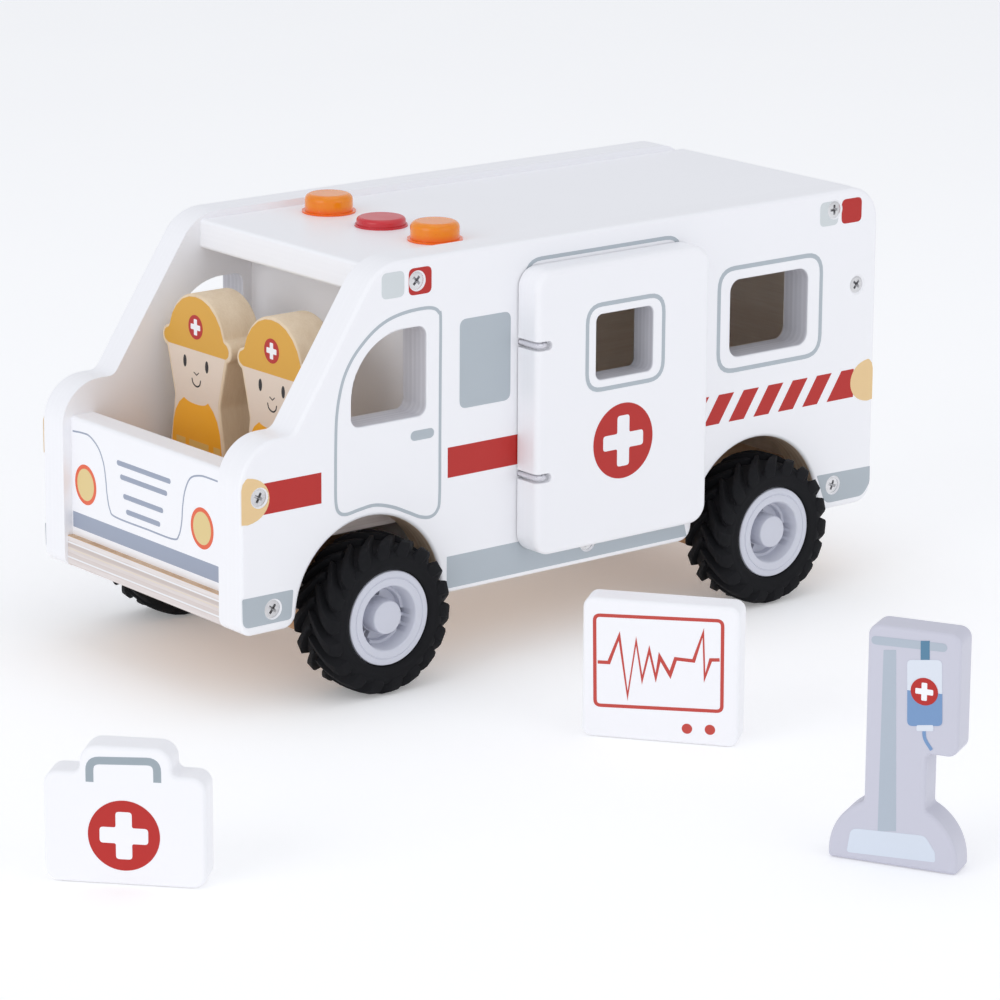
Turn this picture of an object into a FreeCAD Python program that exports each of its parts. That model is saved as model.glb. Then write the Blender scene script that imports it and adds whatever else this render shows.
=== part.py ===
import FreeCAD, Part
import math
import os
import re

import Sketcher

# A wooden toy ambulance with two lift-out figures and three loose accessories.
# Millimetres. X runs to the toy's left, the side with the door, Y from the hood
# to the tail and Z up from the floor. The model is laid out with Y = 0 at the front
# edge of the side panels and moved at the end so that the origin is the bottom
# centre of the box round the whole set.

V = FreeCAD.Vector
X_AXIS = V(1, 0, 0)
Y_AXIS = V(0, 1, 0)
Z_AXIS = V(0, 0, 1)
SAME = 1e-4
FULL_TURN = 360
HALF_TURN = 180
QUARTER_TURN = 90
DOC = FreeCAD.newDocument("toy_ambulance")

SIZES = {
    # side panels
    "panel_thick": 15.0,
    "inner_half": 54.0,
    "nose_high": 74.8,
    "nose_flat": 25.0,
    "slope_long": 41.0,
    "slope_high": 61.6,
    "panel_drop": 1.4,
    "toe_round": 5.0,
    "nose_round": 18.0,
    "foot_round": 5.0,
    "brow_round": 20.0,
    "tail_round": 15.0,
    "heel_round": 8.0,
    "rim_round": 1.6,
    "window_rim": 0.8,
    # windows and door hole in the side panels
    "cab_window_front": 52.6,
    "cab_window_wide": 36.4,
    "cab_window_sink": 1.6,
    "cab_window_drop": 27.4,
    "cab_window_round": 26.0,
    "window_round": 4.0,
    "rear_window_wide": 43.3,
    "rear_window_low": 73.0,
    "rear_window_drop": 30.8,
    "rear_window_round": 5.0,
    "door_hole_front": 146.0,
    "door_hole_wide": 63.0,
    "door_hole_low": 23.0,
    "door_hole_drop": 20.4,
    "door_hole_round": 10.0,
    "rear_post_wide": 38.5,
    "tail_wide": 39.2,
    # boards between the side panels
    "board_thick": 12.0,
    "base_setback": 1.5,
    "hood_setback": 4.0,
    "hood_drop": 13.6,
    "roof_setback": 2.0,
    "roof_recess": 2.8,
    "roof_short": 2.0,
    "floor_rise": 27.0,
    "bulkhead_front": 93.3,
    # wheels, axles and the wooden blocks that carry them
    "tyre_radius": 31.3,
    "tyre_wide": 24.0,
    "tyre_shoulder": 3.4,
    "tyre_bulge": 1.3,
    "lug_deep": 2.4,
    "lug_gap": 3.6,
    "lug_slant": 3.4,
    "hub_radius": 19.1,
    "hub_lip": 1.2,
    "hub_wall": 1.8,
    "hub_inset": 0.7,
    "hub_step": 0.9,
    "hub_band": 2.4,
    "dish_radius": 13.1,
    "dish_wall": 1.5,
    "web_thick": 2.4,
    "web_deep": 13.0,
    "web_window": 2.6,
    "boss_radius": 6.8,
    "boss_short": 1.1,
    "boss_cover": 2.0,
    "axle_radius": 2.5,
    "axle_fit": 0.05,
    "axle_headroom": 0.2,
    "front_axle_back": 63.6,
    "rear_axle_ahead": 64.4,
    "wheel_gap": 0.4,
    "wheel_clear": 1.6,
    "arch_ahead": 2.4,
    "arch_rise": 1.5,
    "arch_gap": 3.9,
    "mouth_round": 6.0,
    "block_high": 9.7,
    "block_long": 54.0,
    "block_behind": 2.4,
    "block_gap": 0.3,
    # wood screws
    "screw_head": 7.6,
    "screw_sink": 8.6,
    "screw_shank": 3.8,
    "screw_long": 30.0,
    "screw_point": 3.0,
    "screw_tip": 0.6,
    "cross_wide": 0.9,
    "cross_long": 4.4,
    "cross_deep": 1.4,
    "block_screw_long": 18.0,
    # side door and its elastic hinge cords
    "door_thick": 12.0,
    "door_gap": 0.5,
    "door_lap_front": 11.5,
    "door_lap_rear": 16.1,
    "door_lap_low": 13.3,
    "door_lap_top": 10.0,
    "door_round": 8.0,
    "door_rim": 2.5,
    "door_window_back": 30.5,
    "door_window_wide": 29.8,
    "door_window_high": 26.8,
    "door_window_drop": 21.2,
    "door_window_round": 3.0,
    "cord_radius": 1.25,
    "cord_clear": 0.25,
    "cord_turn": 2.2,
    "cord_side": 0.15,
    "cord_seam": 0.1,
    "cord_tail": 5.0,
    "cord_low": 32.3,
    "cord_drop": 30.1,
    "groove_half": 1.9,
    "knot_radius": 2.6,
    "knot_long": 4.0,
    # beacon lenses and siren button on the roof
    "light_behind": 13.9,
    "beacon_inset": 18.6,
    "lens_radius": 9.9,
    "lens_high": 7.8,
    "lens_round": 2.6,
    "lens_wall": 1.0,
    "lens_flange": 1.2,
    "flange_thick": 0.8,
    "lens_skirt": 6.0,
    "lens_neck": 1.4,
    "button_radius": 10.0,
    "button_high": 3.8,
    "button_round": 1.6,
    "button_skirt": 3.6,
    "button_wall": 1.4,
    "button_fit": 0.05,
    "button_travel": 2.0,
    "stem_radius": 3.0,
    "stem_clip": 1.0,
    "clip_thick": 1.0,
    "ring_lip": 0.6,
    "ring_thick": 0.8,
    "ring_wall": 0.8,
    "ring_floor": 1.0,
    "ring_lift": 1.0,
    "spring_wire": 0.35,
    "spring_radius": 4.8,
    "spring_rest": 0.05,
    # sound and light unit under the roof
    "unit_gap": 2.0,
    "unit_long": 40.0,
    "unit_high": 18.0,
    "unit_wall": 2.0,
    "ear_long": 7.0,
    "ear_wide": 12.0,
    "ear_thick": 3.0,
    "cover_thick": 2.0,
    "cover_fit": 0.15,
    "post_radius": 2.2,
    "post_long": 5.6,
    "post_inset": 4.0,
    "circuit_thick": 1.6,
    "circuit_gap": 1.5,
    "lamp_radius": 2.5,
    "lamp_rise": 3.6,
    "lamp_base": 0.6,
    "lamp_hole": 4.0,
    "switch_half": 3.5,
    "switch_high": 0.6,
    "speaker_radius": 13.0,
    "speaker_high": 4.6,
    "speaker_magnet": 6.5,
    "speaker_inset": 18.0,
    "cell_radius": 5.8,
    "cell_high": 4.4,
    "cell_pitch": 12.6,
    "cell_inset": 5.0,
    "contact_thick": 0.3,
    "contact_wide": 6.0,
    "small_head": 5.0,
    "small_shank": 2.6,
    "small_long": 8.4,
    # the two figures
    "figure_high": 71.4,
    "figure_side_gap": 3.9,
    "figure_mid_gap": 1.9,
    "figure_thick": 18.0,
    "figure_front": 46.0,
    "figure_rim": 0.8,
    "figure_bend": 6.0,
    "figure_notch": 1.2,
    # accessories that stand on the floor
    "toy_thick": 13.0,
    "toy_rim": 1.5,
    "monitor_wide": 60.3,
    "monitor_high": 54.8,
    "monitor_round": 4.0,
    "monitor_right": 162.3,
    "monitor_back": 91.3,
    "monitor_turn": 37.8,
    "case_wide": 56.7,
    "case_high": 39.7,
    "case_round": 5.0,
    "case_handle_high": 9.8,
    "case_handle_in": 12.7,
    "case_handle_out": 11.7,
    "case_handle_round": 6.0,
    "case_neck_round": 2.5,
    "case_right": 169.7,
    "case_ahead": 154.5,
    "case_turn": 42.9,
    "stand_high": 86.5,
    "stand_base": 47.0,
    "stand_foot": 3.0,
    "stand_base_high": 22.0,
    "stand_column": 22.2,
    "stand_column_in": 12.6,
    "stand_arm": 11.3,
    "stand_arm_low": 42.3,
    "stand_round": 4.0,
    "stand_right": 316.5,
    "stand_back": 74.6,
    "stand_turn": 27.4,
    # shared by every cut that runs past a face
    "cut_past": 1.0,
}

LUGS = 18
GAP_INNER_SHARE = 0.333333
WEB_WINDOWS = 6
SPRING_TURNS = 4

# Places of the screws as shares of the board that each one holds: how far along the
# board's first direction and how far across its second one.
BASE_SCREW_SHARES = [(0.041, 0.64), (0.522, 0.61), (0.938, 0.73)]
ROOF_SCREW_SHARES = [(0.063, 0.475), (0.9123, 0.567)]
HOOD_SCREW_SHARES = [(0.4, 0.83)]
TAIL_SCREW_SHARES = [(0.25, 0.7536)]
BLOCK_SCREW_SHARES = (0.66, 0.3)

# Right half of a figure's outline from the foot to the top of the hat, as shares of
# the brim's half width and of the height; an arc runs through each middle point.
BODY_SHARES = (0.79, 0.13)
NECK_SHARES = [(0.72, 0.25), (0.655, 0.385)]
CHEEK_SHARES = [(0.75, 0.51), (0.87, 0.655)]
BRIM_SHARES = [(1.0, 0.72), (0.79, 0.777)]

# Levels and lengths that follow from the sizes above.
AXLE_UP = "tyre_radius"
BODY_LOW = "(tyre_radius + axle_radius + axle_headroom)"
PANEL_LOW = f"({BODY_LOW} - panel_drop)"
BASE_TOP = f"({BODY_LOW} + board_thick)"
FLOOR_LOW = f"({BODY_LOW} + floor_rise)"
FLOOR_TOP = f"({FLOOR_LOW} + board_thick)"
NOSE_TOP = f"({BODY_LOW} + nose_high)"
BODY_TOP = f"({NOSE_TOP} + slope_high)"
ROOF_TOP = f"({BODY_TOP} - roof_recess)"
ROOF_LOW = f"({ROOF_TOP} - board_thick)"
HOOD_TOP = f"({NOSE_TOP} - hood_drop)"
OUTER = "(inner_half + panel_thick)"
DOOR_HOLE_REAR = "(door_hole_front + door_hole_wide)"
REAR_WINDOW_FRONT = f"({DOOR_HOLE_REAR} + rear_post_wide)"
REAR_WINDOW_REAR = f"({REAR_WINDOW_FRONT} + rear_window_wide)"
BODY_LONG = f"({REAR_WINDOW_REAR} + tail_wide)"
SLOPE_TOP = "(nose_flat + slope_long)"
ROOF_FRONT = f"({SLOPE_TOP} + roof_setback)"
ROOF_REAR = f"({BODY_LONG} - roof_short)"
TAIL_FRONT = f"({ROOF_REAR} - board_thick)"
BULKHEAD_BACK = "(bulkhead_front + board_thick)"
FRONT_AXLE = "front_axle_back"
REAR_AXLE = f"({BODY_LONG} - rear_axle_ahead)"
ARCH_RADIUS = "(tyre_radius + arch_gap)"
BLOCK_LOW = f"({BODY_LOW} - block_high)"
TYRE_IN = "(inner_half + wheel_gap + wheel_clear - block_gap)"
HUB_IN = "(inner_half - block_gap + wheel_gap)"
TYRE_OUT = f"({TYRE_IN} + tyre_wide)"
HUB_OUT = f"({TYRE_OUT} - hub_inset)"
AXLE_END = f"({HUB_OUT} - boss_short - boss_cover)"
LIGHT_BACK = f"({BULKHEAD_BACK} + light_behind)"
DOOR_IN = f"({OUTER} + door_gap)"
DOOR_OUT = f"({DOOR_IN} + door_thick)"
DOOR_FRONT = "(door_hole_front - door_lap_front)"
DOOR_REAR = f"({DOOR_HOLE_REAR} + door_lap_rear)"
DOOR_LOW = f"({BODY_LOW} + door_hole_low - door_lap_low)"
DOOR_TOP = f"({BODY_TOP} - door_hole_drop + door_lap_top)"
CORD_LINE = f"({DOOR_FRONT} + cord_side + cord_radius)"
CORD_HOLE = f"({CORD_LINE} + 2 * cord_turn)"
CORD_BEND = f"({DOOR_OUT} - cord_turn - cord_radius)"
CORD_LEVELS = {
    "upper": f"({DOOR_TOP} - cord_drop)",
    "lower": f"({DOOR_LOW} + cord_low)",
}
SLEEVE_RADIUS = "(button_radius + button_fit + ring_wall)"
RING_FLOOR_LOW = f"({ROOF_LOW} + ring_lift)"
RING_FLOOR_TOP = f"({RING_FLOOR_LOW} + ring_floor)"
BUTTON_TOP = f"({ROOF_TOP} + button_high)"
BUTTON_EDGE = f"({ROOF_TOP} + ring_thick - button_skirt)"
BUTTON_UNDER = f"({BUTTON_TOP} - button_wall)"
STEM_LOW = f"({RING_FLOOR_LOW} - button_fit - clip_thick)"
LENS_NECK = "(lens_radius - lens_neck)"
BEACON_APART = "(inner_half - beacon_inset)"
UNIT_LOW = f"({ROOF_LOW} - unit_high)"
UNIT_FRONT = BULKHEAD_BACK
UNIT_HALF = "(inner_half - unit_gap - ear_long)"
SPEAKER_ACROSS = f"({UNIT_HALF} - speaker_inset)"
UNIT_REAR = f"({UNIT_FRONT} + unit_long)"
UNIT_CEILING = f"({ROOF_LOW} - unit_wall)"
COVER_TOP = f"({UNIT_LOW} + cover_thick)"
CIRCUIT_TOP = f"({UNIT_CEILING} - post_long)"
CIRCUIT_LOW = f"({CIRCUIT_TOP} - circuit_thick)"
FIGURE_HALF = "((inner_half - figure_side_gap - figure_mid_gap) / 2)"
FIGURE_APART = f"({FIGURE_HALF} + figure_mid_gap)"
SPRING_LOW = f"({RING_FLOOR_TOP} + spring_rest + spring_wire)"
SPRING_HIGH = f"({BUTTON_UNDER} - spring_rest - spring_wire)"

ALIAS = re.compile(r"\b([a-z]+(?:_[a-z]+)+)\b")


def make_sheet():
    """Spreadsheet with one named cell for each size."""
    sheet = DOC.addObject("Spreadsheet::Sheet", "Dim")
    for row, (alias, value) in enumerate(SIZES.items(), start=1):
        sheet.set(f"A{row}", alias)
        sheet.set(f"B{row}", str(value))
        sheet.setAlias(f"B{row}", alias)
    DOC.recompute()
    return sheet


SHEET = make_sheet()


def num(text):
    """Value of a sum of named sizes."""
    return float(SHEET.evalExpression(text))


def bind(thing, prop, text):
    """Tie a property to a sum of named sizes."""
    thing.setExpression(prop, ALIAS.sub(r"Dim.\1", text))


def spot(x, y, z):
    """Point from three sums of named sizes."""
    return V(num(x), num(y), num(z))


def place(at, axis=Z_AXIS):
    """Placement at a point, with the object's own Z turned to an axis."""
    return FreeCAD.Placement(at, FreeCAD.Rotation(Z_AXIS, axis))


def box(x, y, z):
    """Box between a lower and an upper bound along each axis."""
    made = DOC.addObject("Part::Box", "Block")
    for prop, (low, high) in zip(("Length", "Width", "Height"), (x, y, z)):
        bind(made, prop, f"({high}) - ({low})")
    made.Placement = place(spot(x[0], y[0], z[0]))
    return made


def rod(radius, length, at, axis=Z_AXIS):
    """Cylinder that starts at a point and runs along an axis."""
    made = DOC.addObject("Part::Cylinder", "Rod")
    bind(made, "Radius", radius)
    bind(made, "Height", length)
    made.Placement = place(at, axis)
    return made


def cone(first, second, length, at, axis=Z_AXIS):
    """Cone from one radius to another along an axis."""
    made = DOC.addObject("Part::Cone", "Taper")
    bind(made, "Radius1", first)
    bind(made, "Radius2", second)
    bind(made, "Height", length)
    made.Placement = place(at, axis)
    return made


def fuse(shapes):
    """One solid from several that meet or overlap."""
    made = DOC.addObject("Part::MultiFuse", "Joined")
    made.Shapes = shapes
    made.Refine = True
    return made


def group(shapes):
    """Separate solids kept together."""
    made = DOC.addObject("Part::Compound", "Group")
    made.Links = shapes
    return made


def cut(base, tools):
    """Base less every tool."""
    made = DOC.addObject("Part::Cut", "Cut")
    made.Base = base
    made.Tool = tools[0] if len(tools) == 1 else group(tools)
    return made


SUB_PARTS = []


def keep(thing, label):
    """Name a finished sub-part and list it for export."""
    thing.Label = label
    SUB_PARTS.append(thing)
    return thing


def new_body():
    """Empty body for sketches and features."""
    return DOC.addObject("PartDesign::Body", "Body")


def new_sketch(body, role):
    """Sketch on one of the body's own origin planes."""
    sketch = body.newObject("Sketcher::SketchObject", "Outline")
    plane = next(f for f in body.Origin.OriginFeatures if f.Role == role)
    sketch.AttachmentSupport = [(plane, "")]
    sketch.MapMode = "FlatFace"
    return sketch


def polygon(sketch, corners):
    """Closed outline whose corners are bound to sums of named sizes."""
    spots = [V(num(x), num(y), 0) for x, y in corners]
    first = sketch.GeometryCount
    for start, end in zip(spots, spots[1:] + spots[:1]):
        sketch.addGeometry(Part.LineSegment(start, end), False)
    for k, (x, y) in enumerate(corners):
        line = first + k
        before = first + (k - 1) % len(corners)
        sketch.addConstraint(Sketcher.Constraint("Coincident", before, 2, line, 1))
        for kind, text in (("DistanceX", x), ("DistanceY", y)):
            rule = Sketcher.Constraint(kind, -1, 1, line, 1, num(text))
            bind(sketch, f"Constraints[{sketch.addConstraint(rule)}]", text)


def circle(sketch, x, y, radius):
    """Circle whose centre and radius are bound to sums of named sizes."""
    ring = Part.Circle(V(num(x), num(y), 0), Z_AXIS, num(radius))
    line = sketch.addGeometry(ring, False)
    rules = [("DistanceX", x), ("DistanceY", y)]
    for kind, text in rules:
        rule = Sketcher.Constraint(kind, -1, 1, line, 3, num(text))
        bind(sketch, f"Constraints[{sketch.addConstraint(rule)}]", text)
    rule = Sketcher.Constraint("Radius", line, num(radius))
    bind(sketch, f"Constraints[{sketch.addConstraint(rule)}]", radius)


def pad(body, sketch, thick):
    """Pad a sketch towards the positive side of its plane's axis."""
    made = body.newObject("PartDesign::Pad", "Pad")
    made.Profile = sketch
    bind(made, "Length", thick)
    plane = sketch.AttachmentSupport[0][0].Role
    made.Reversed = plane == "XZ_Plane"
    DOC.recompute()
    return made


def pocket(body, sketch, volume):
    """Cut a sketch right through the body, both ways, and see that its volume falls."""
    made = body.newObject("PartDesign::Pocket", "Pocket")
    made.Profile = sketch
    made.Type = "ThroughAll"
    made.Midplane = True
    DOC.recompute()
    if made.Shape.Volume >= volume:
        raise RuntimeError("a pocket removed nothing")
    return made


def spans(edge):
    """Lower and upper bounds of an edge along X, Y and Z."""
    limits = edge.BoundBox
    low = (limits.XMin, limits.YMin, limits.ZMin)
    high = (limits.XMax, limits.YMax, limits.ZMax)
    return low, high


def corner_edges(feature, axis, places):
    """Straight edges along an axis (0, 1 or 2) that stand at the given places."""
    across = [n for n in range(3) if n != axis]
    names = []
    for k, edge in enumerate(feature.Shape.Edges, start=1):
        low, high = spans(edge)
        if any(high[n] - low[n] > SAME for n in across):
            continue
        for spot_across in places:
            if all(abs(low[n] - s) < SAME for n, s in zip(across, spot_across)):
                names.append(f"Edge{k}")
    return names


def level_edges(feature, axis, level, within=None):
    """Edges that lie flat at one level of an axis, or only those inside some outlines."""
    across = [n for n in range(3) if n != axis]
    names = []
    for k, edge in enumerate(feature.Shape.Edges, start=1):
        low, high = spans(edge)
        if high[axis] - low[axis] > SAME or abs(low[axis] - level) > SAME:
            continue
        middle = [(low[n] + high[n]) / 2 for n in across]
        if within is None or any(is_inside(middle, outline) for outline in within):
            names.append(f"Edge{k}")
    return names


def is_inside(point, outline):
    """Whether a point lies in the upright rectangle round an outline of named sizes."""
    for value, places in zip(point, zip(*outline)):
        limits = [num(text) for text in places]
        if value < min(limits) - SAME or value > max(limits) + SAME:
            return False
    return True


def fillet(body, feature, names, radius):
    """Round the named edges of the body's last feature."""
    made = body.newObject("PartDesign::Fillet", "Round")
    made.Base = (feature, names)
    bind(made, "Radius", radius)
    DOC.recompute()
    return made


def round_corners(body, feature, axis, rounds):
    """Round the corners of a padded outline; rounds maps a radius to its corners."""
    for radius, corners in rounds:
        spots = [(num(x), num(y)) for x, y in corners]
        names = corner_edges(feature, axis, spots)
        feature = fillet(body, feature, names, radius)
    return feature


def spin(body, corners):
    """Body of revolution round its own Z from an outline of radius and height."""
    sketch = new_sketch(body, "XZ_Plane")
    polygon(sketch, corners)
    made = body.newObject("PartDesign::Revolution", "Turned")
    made.Profile = sketch
    made.ReferenceAxis = (sketch, ["V_Axis"])
    made.Angle = FULL_TURN
    DOC.recompute()
    return made


def ring_edges(feature, rings):
    """Round edges of a turned shape at the given radii and heights."""
    names = []
    for k, edge in enumerate(feature.Shape.Edges, start=1):
        low, high = spans(edge)
        if high[2] - low[2] > SAME or high[0] - low[0] < SAME:
            continue
        for radius, height in rings:
            if abs(high[0] - num(radius)) < SAME and abs(low[2] - num(height)) < SAME:
                names.append(f"Edge{k}")
    return names


def screw(at, axis, head, sink, shank, length):
    """Countersunk screw with a cross recess, its head just below the surface.

    The point is where the screw's line meets the surface; the axis points into it.
    Returns the screw and the hole that it needs.
    """
    line = FreeCAD.Rotation(Z_AXIS, axis)
    deep = f"(({sink}) - ({shank})) / 2"
    below = f"(({sink}) - ({head})) / 2"
    frame = FreeCAD.Placement(at, line)

    def along(text):
        return frame.multVec(V(0, 0, num(text)))

    top = cone(f"({head}) / 2", f"({shank}) / 2", f"{deep} - {below}", along(below), axis)
    body_long = f"({length}) - {deep} - screw_point"
    body = rod(f"({shank}) / 2", body_long, along(deep), axis)
    tip = cone(f"({shank}) / 2", "screw_tip / 2", "screw_point", along(f"({length}) - screw_point"), axis)
    arms = []
    for wide, tall in (("cross_long", "cross_wide"), ("cross_wide", "cross_long")):
        arm = DOC.addObject("Part::Box", "Arm")
        scale = f"({head}) / screw_head"
        bind(arm, "Length", f"{wide} * {scale}")
        bind(arm, "Width", f"{tall} * {scale}")
        bind(arm, "Height", f"cross_deep * {scale}")
        corner = V(-num(f"{wide} * {scale}") / 2, -num(f"{tall} * {scale}") / 2, num(below))
        arm.Placement = frame.multiply(place(corner))
        arms.append(arm)
    made = cut(fuse([top, body, tip]), [fuse(arms)])
    mouth = cone(f"({sink}) / 2", f"({shank}) / 2", deep, at, axis)
    bore = rod(f"({shank}) / 2", f"({length}) - {deep}", along(deep), axis)
    hole = fuse([mouth, bore])
    return made, hole


def wood_screw(at, axis, length="screw_long"):
    """Screw for the boards."""
    return screw(at, axis, "screw_head", "screw_sink", "screw_shank", length)


def small_screw(at, axis):
    """Screw for the plastic unit."""
    return screw(at, axis, "small_head", "small_head", "small_shank", "small_long")


def between(low, high, share):
    """Sum of named sizes that lies a share of the way between two others."""
    return f"({low} + ({high} - {low}) * {share})"


def panel_screw_places():
    """Where each side screw stands, by the board that it holds."""
    boards = {
        "base": (BASE_SCREW_SHARES, ("base_setback", ROOF_REAR), (BODY_LOW, BASE_TOP)),
        "roof": (ROOF_SCREW_SHARES, (ROOF_FRONT, ROOF_REAR), (ROOF_LOW, ROOF_TOP)),
        "hood": (HOOD_SCREW_SHARES, ("hood_setback", "(hood_setback + board_thick)"),
                 (BASE_TOP, HOOD_TOP)),
        "tail": (TAIL_SCREW_SHARES, (TAIL_FRONT, ROOF_REAR), (BASE_TOP, ROOF_LOW)),
    }
    places = {}
    for board, (shares, along, up) in boards.items():
        places[board] = [(between(*along, a), between(*up, b)) for a, b in shares]
    return places


def make_panel_screws():
    """Screws through both side panels, and the holes that they need."""
    holes = {"left": [], "right": []}
    for side, sign in (("left", 1), ("right", -1)):
        screws = []
        for board, places in panel_screw_places().items():
            holes.setdefault(board, [])
            for along, up in places:
                at = V(sign * num(OUTER), num(along), num(up))
                made, hole = wood_screw(at, X_AXIS * -sign)
                screws.append(made)
                holes[side].append(hole)
                holes[board].append(hole)
        keep(group(screws), f"{side}_panel_screws")
    return holes


def panel_outline(body, sign):
    """Side panel's outline, padded and rounded, with its arches."""
    low, nose, top = PANEL_LOW, NOSE_TOP, BODY_TOP
    toe = ("0", low)
    bow = ("0", nose)
    foot = ("nose_flat", nose)
    brow = (SLOPE_TOP, top)
    tail = (BODY_LONG, top)
    heel = (BODY_LONG, low)
    sketch = new_sketch(body, "YZ_Plane")
    polygon(sketch, [toe, bow, foot, brow, tail, heel])
    feature = pad(body, sketch, "panel_thick")
    rounds = [("toe_round", [toe]), ("nose_round", [bow]), ("foot_round", [foot]),
              ("brow_round", [brow]), ("tail_round", [tail]), ("heel_round", [heel])]
    feature = round_corners(body, feature, 0, rounds)
    sketch = new_sketch(body, "YZ_Plane")
    for axle in (FRONT_AXLE, REAR_AXLE):
        circle(sketch, f"{axle} - arch_ahead", f"{BODY_LOW} + arch_rise", ARCH_RADIUS)
    feature = pocket(body, sketch, feature.Shape.Volume)
    half_mouth = f"sqrt({ARCH_RADIUS} ^ 2 - (arch_rise + panel_drop) ^ 2)"
    mouths = [(f"{axle} - arch_ahead {side} {half_mouth}", low)
              for axle in (FRONT_AXLE, REAR_AXLE) for side in "-+"]
    feature = round_corners(body, feature, 0, [("mouth_round", mouths)])
    outer = num("panel_thick") if sign > 0 else 0
    return fillet(body, feature, level_edges(feature, 0, outer), "rim_round")


def rectangle(y_low, y_high, z_low, z_high):
    """Corners of an upright rectangle: low front, high front, high rear, low rear."""
    return [(y_low, z_low), (y_low, z_high), (y_high, z_high), (y_high, z_low)]


def panel_holes(with_door):
    """Window and door openings of a side panel with their corner radii."""
    cab_rear = "(cab_window_front + cab_window_wide)"
    cab_top = f"({BODY_TOP} - cab_window_drop)"
    cab_low = f"({NOSE_TOP} - cab_window_sink)"
    cab = rectangle("cab_window_front", cab_rear, cab_low, cab_top)
    cab_high = f"({cab_top} - {cab_low} - 2 * window_round)"
    big = f"min(cab_window_round; {cab_high})"
    rear = rectangle(REAR_WINDOW_FRONT, REAR_WINDOW_REAR, f"({BODY_LOW} + rear_window_low)",
                     f"({BODY_TOP} - rear_window_drop)")
    holes = [cab, rear]
    rounds = [(big, cab[1:2]), ("window_round", cab[:1] + cab[2:]), ("rear_window_round", rear)]
    if with_door:
        door = rectangle("door_hole_front", DOOR_HOLE_REAR, f"({BODY_LOW} + door_hole_low)",
                         f"({BODY_TOP} - door_hole_drop)")
        holes.append(door)
        rounds.append(("door_hole_round", door))
    return holes, rounds


def make_side_panel(side, sign, screw_holes):
    """Side panel with its arches, windows and screw holes; the left one has the door hole."""
    body = new_body()
    feature = panel_outline(body, sign)
    holes, rounds = panel_holes(with_door=sign > 0)
    sketch = new_sketch(body, "YZ_Plane")
    for corners in holes:
        polygon(sketch, corners)
    feature = pocket(body, sketch, feature.Shape.Volume)
    feature = round_corners(body, feature, 0, rounds)
    outer = num("panel_thick") if sign > 0 else 0
    fillet(body, feature, level_edges(feature, 0, outer, within=holes), "window_rim")
    start = num("inner_half") if sign > 0 else -num(OUTER)
    body.Placement = place(V(start, 0, 0))
    tools = list(screw_holes)
    if sign > 0:
        tools += [cord_bore(level) for level in CORD_LEVELS.values()]
    keep(cut(body, tools), f"{side}_side_panel")


def board(y_low, y_high, z_low, z_high, soft=()):
    """Board across the whole inside width; soft lists the long edges to round."""
    body = new_body()
    sketch = new_sketch(body, "YZ_Plane")
    polygon(sketch, rectangle(y_low, y_high, z_low, z_high))
    feature = pad(body, sketch, "2 * inner_half")
    if soft:
        round_corners(body, feature, 0, [("rim_round", soft)])
    body.Placement = place(V(-num("inner_half"), 0, 0))
    return body


def make_boards(holes, block_holes, roof_tools):
    """Base, hood, cab floor, bulkhead, roof and tail boards."""
    base = board("base_setback", ROOF_REAR, BODY_LOW, BASE_TOP)
    keep(cut(base, holes["base"] + block_holes), "base_board")
    hood_back = "(hood_setback + board_thick)"
    hood = board("hood_setback", hood_back, BASE_TOP, HOOD_TOP,
                 [("hood_setback", HOOD_TOP), (hood_back, HOOD_TOP)])
    keep(cut(hood, holes["hood"]), "hood_panel")
    floor = board(hood_back, "bulkhead_front", FLOOR_LOW, FLOOR_TOP)
    keep(floor, "cab_floor")
    bulkhead = board("bulkhead_front", BULKHEAD_BACK, BASE_TOP, ROOF_LOW)
    keep(bulkhead, "cab_bulkhead")
    roof = board(ROOF_FRONT, ROOF_REAR, ROOF_LOW, ROOF_TOP,
                 [(ROOF_FRONT, ROOF_LOW), (ROOF_FRONT, ROOF_TOP)])
    keep(cut(roof, holes["roof"] + roof_tools), "roof_panel")
    tail = board(TAIL_FRONT, ROOF_REAR, BASE_TOP, ROOF_LOW)
    keep(cut(tail, holes["tail"]), "rear_panel")


def make_axle_blocks():
    """Wooden blocks with an open groove for each axle, and the screws below them."""
    screws, holes = [], []
    half = "(inner_half - block_gap)"
    for name, axle in (("front", FRONT_AXLE), ("rear", REAR_AXLE)):
        middle = f"({axle} + block_behind)"
        span = (f"({middle} - block_long / 2)", f"({middle} + block_long / 2)")
        block = box((f"-{half}", half), span, (BLOCK_LOW, BODY_LOW))
        bore = "(axle_radius + axle_fit)"
        at = spot(f"-{half} - cut_past", axle, AXLE_UP)
        groove = rod(bore, f"2 * {half} + 2 * cut_past", at, X_AXIS)
        slot = box((f"-{half} - cut_past", f"{half} + cut_past"),
                   (f"{axle} - {bore}", f"{axle} + {bore}"), (AXLE_UP, f"{BODY_LOW} + cut_past"))
        here = []
        for sign in ("-", ""):
            out, back = BLOCK_SCREW_SHARES
            at = spot(f"{sign}{half} * {out}", f"{middle} + block_long * {back}", BLOCK_LOW)
            made, hole = wood_screw(at, Z_AXIS, "block_screw_long")
            screws.append(made)
            here.append(hole)
        keep(cut(block, [fuse([groove, slot])] + here), f"{name}_axle_block")
        holes += here
    keep(group(screws), "axle_block_screws")
    return holes


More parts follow.
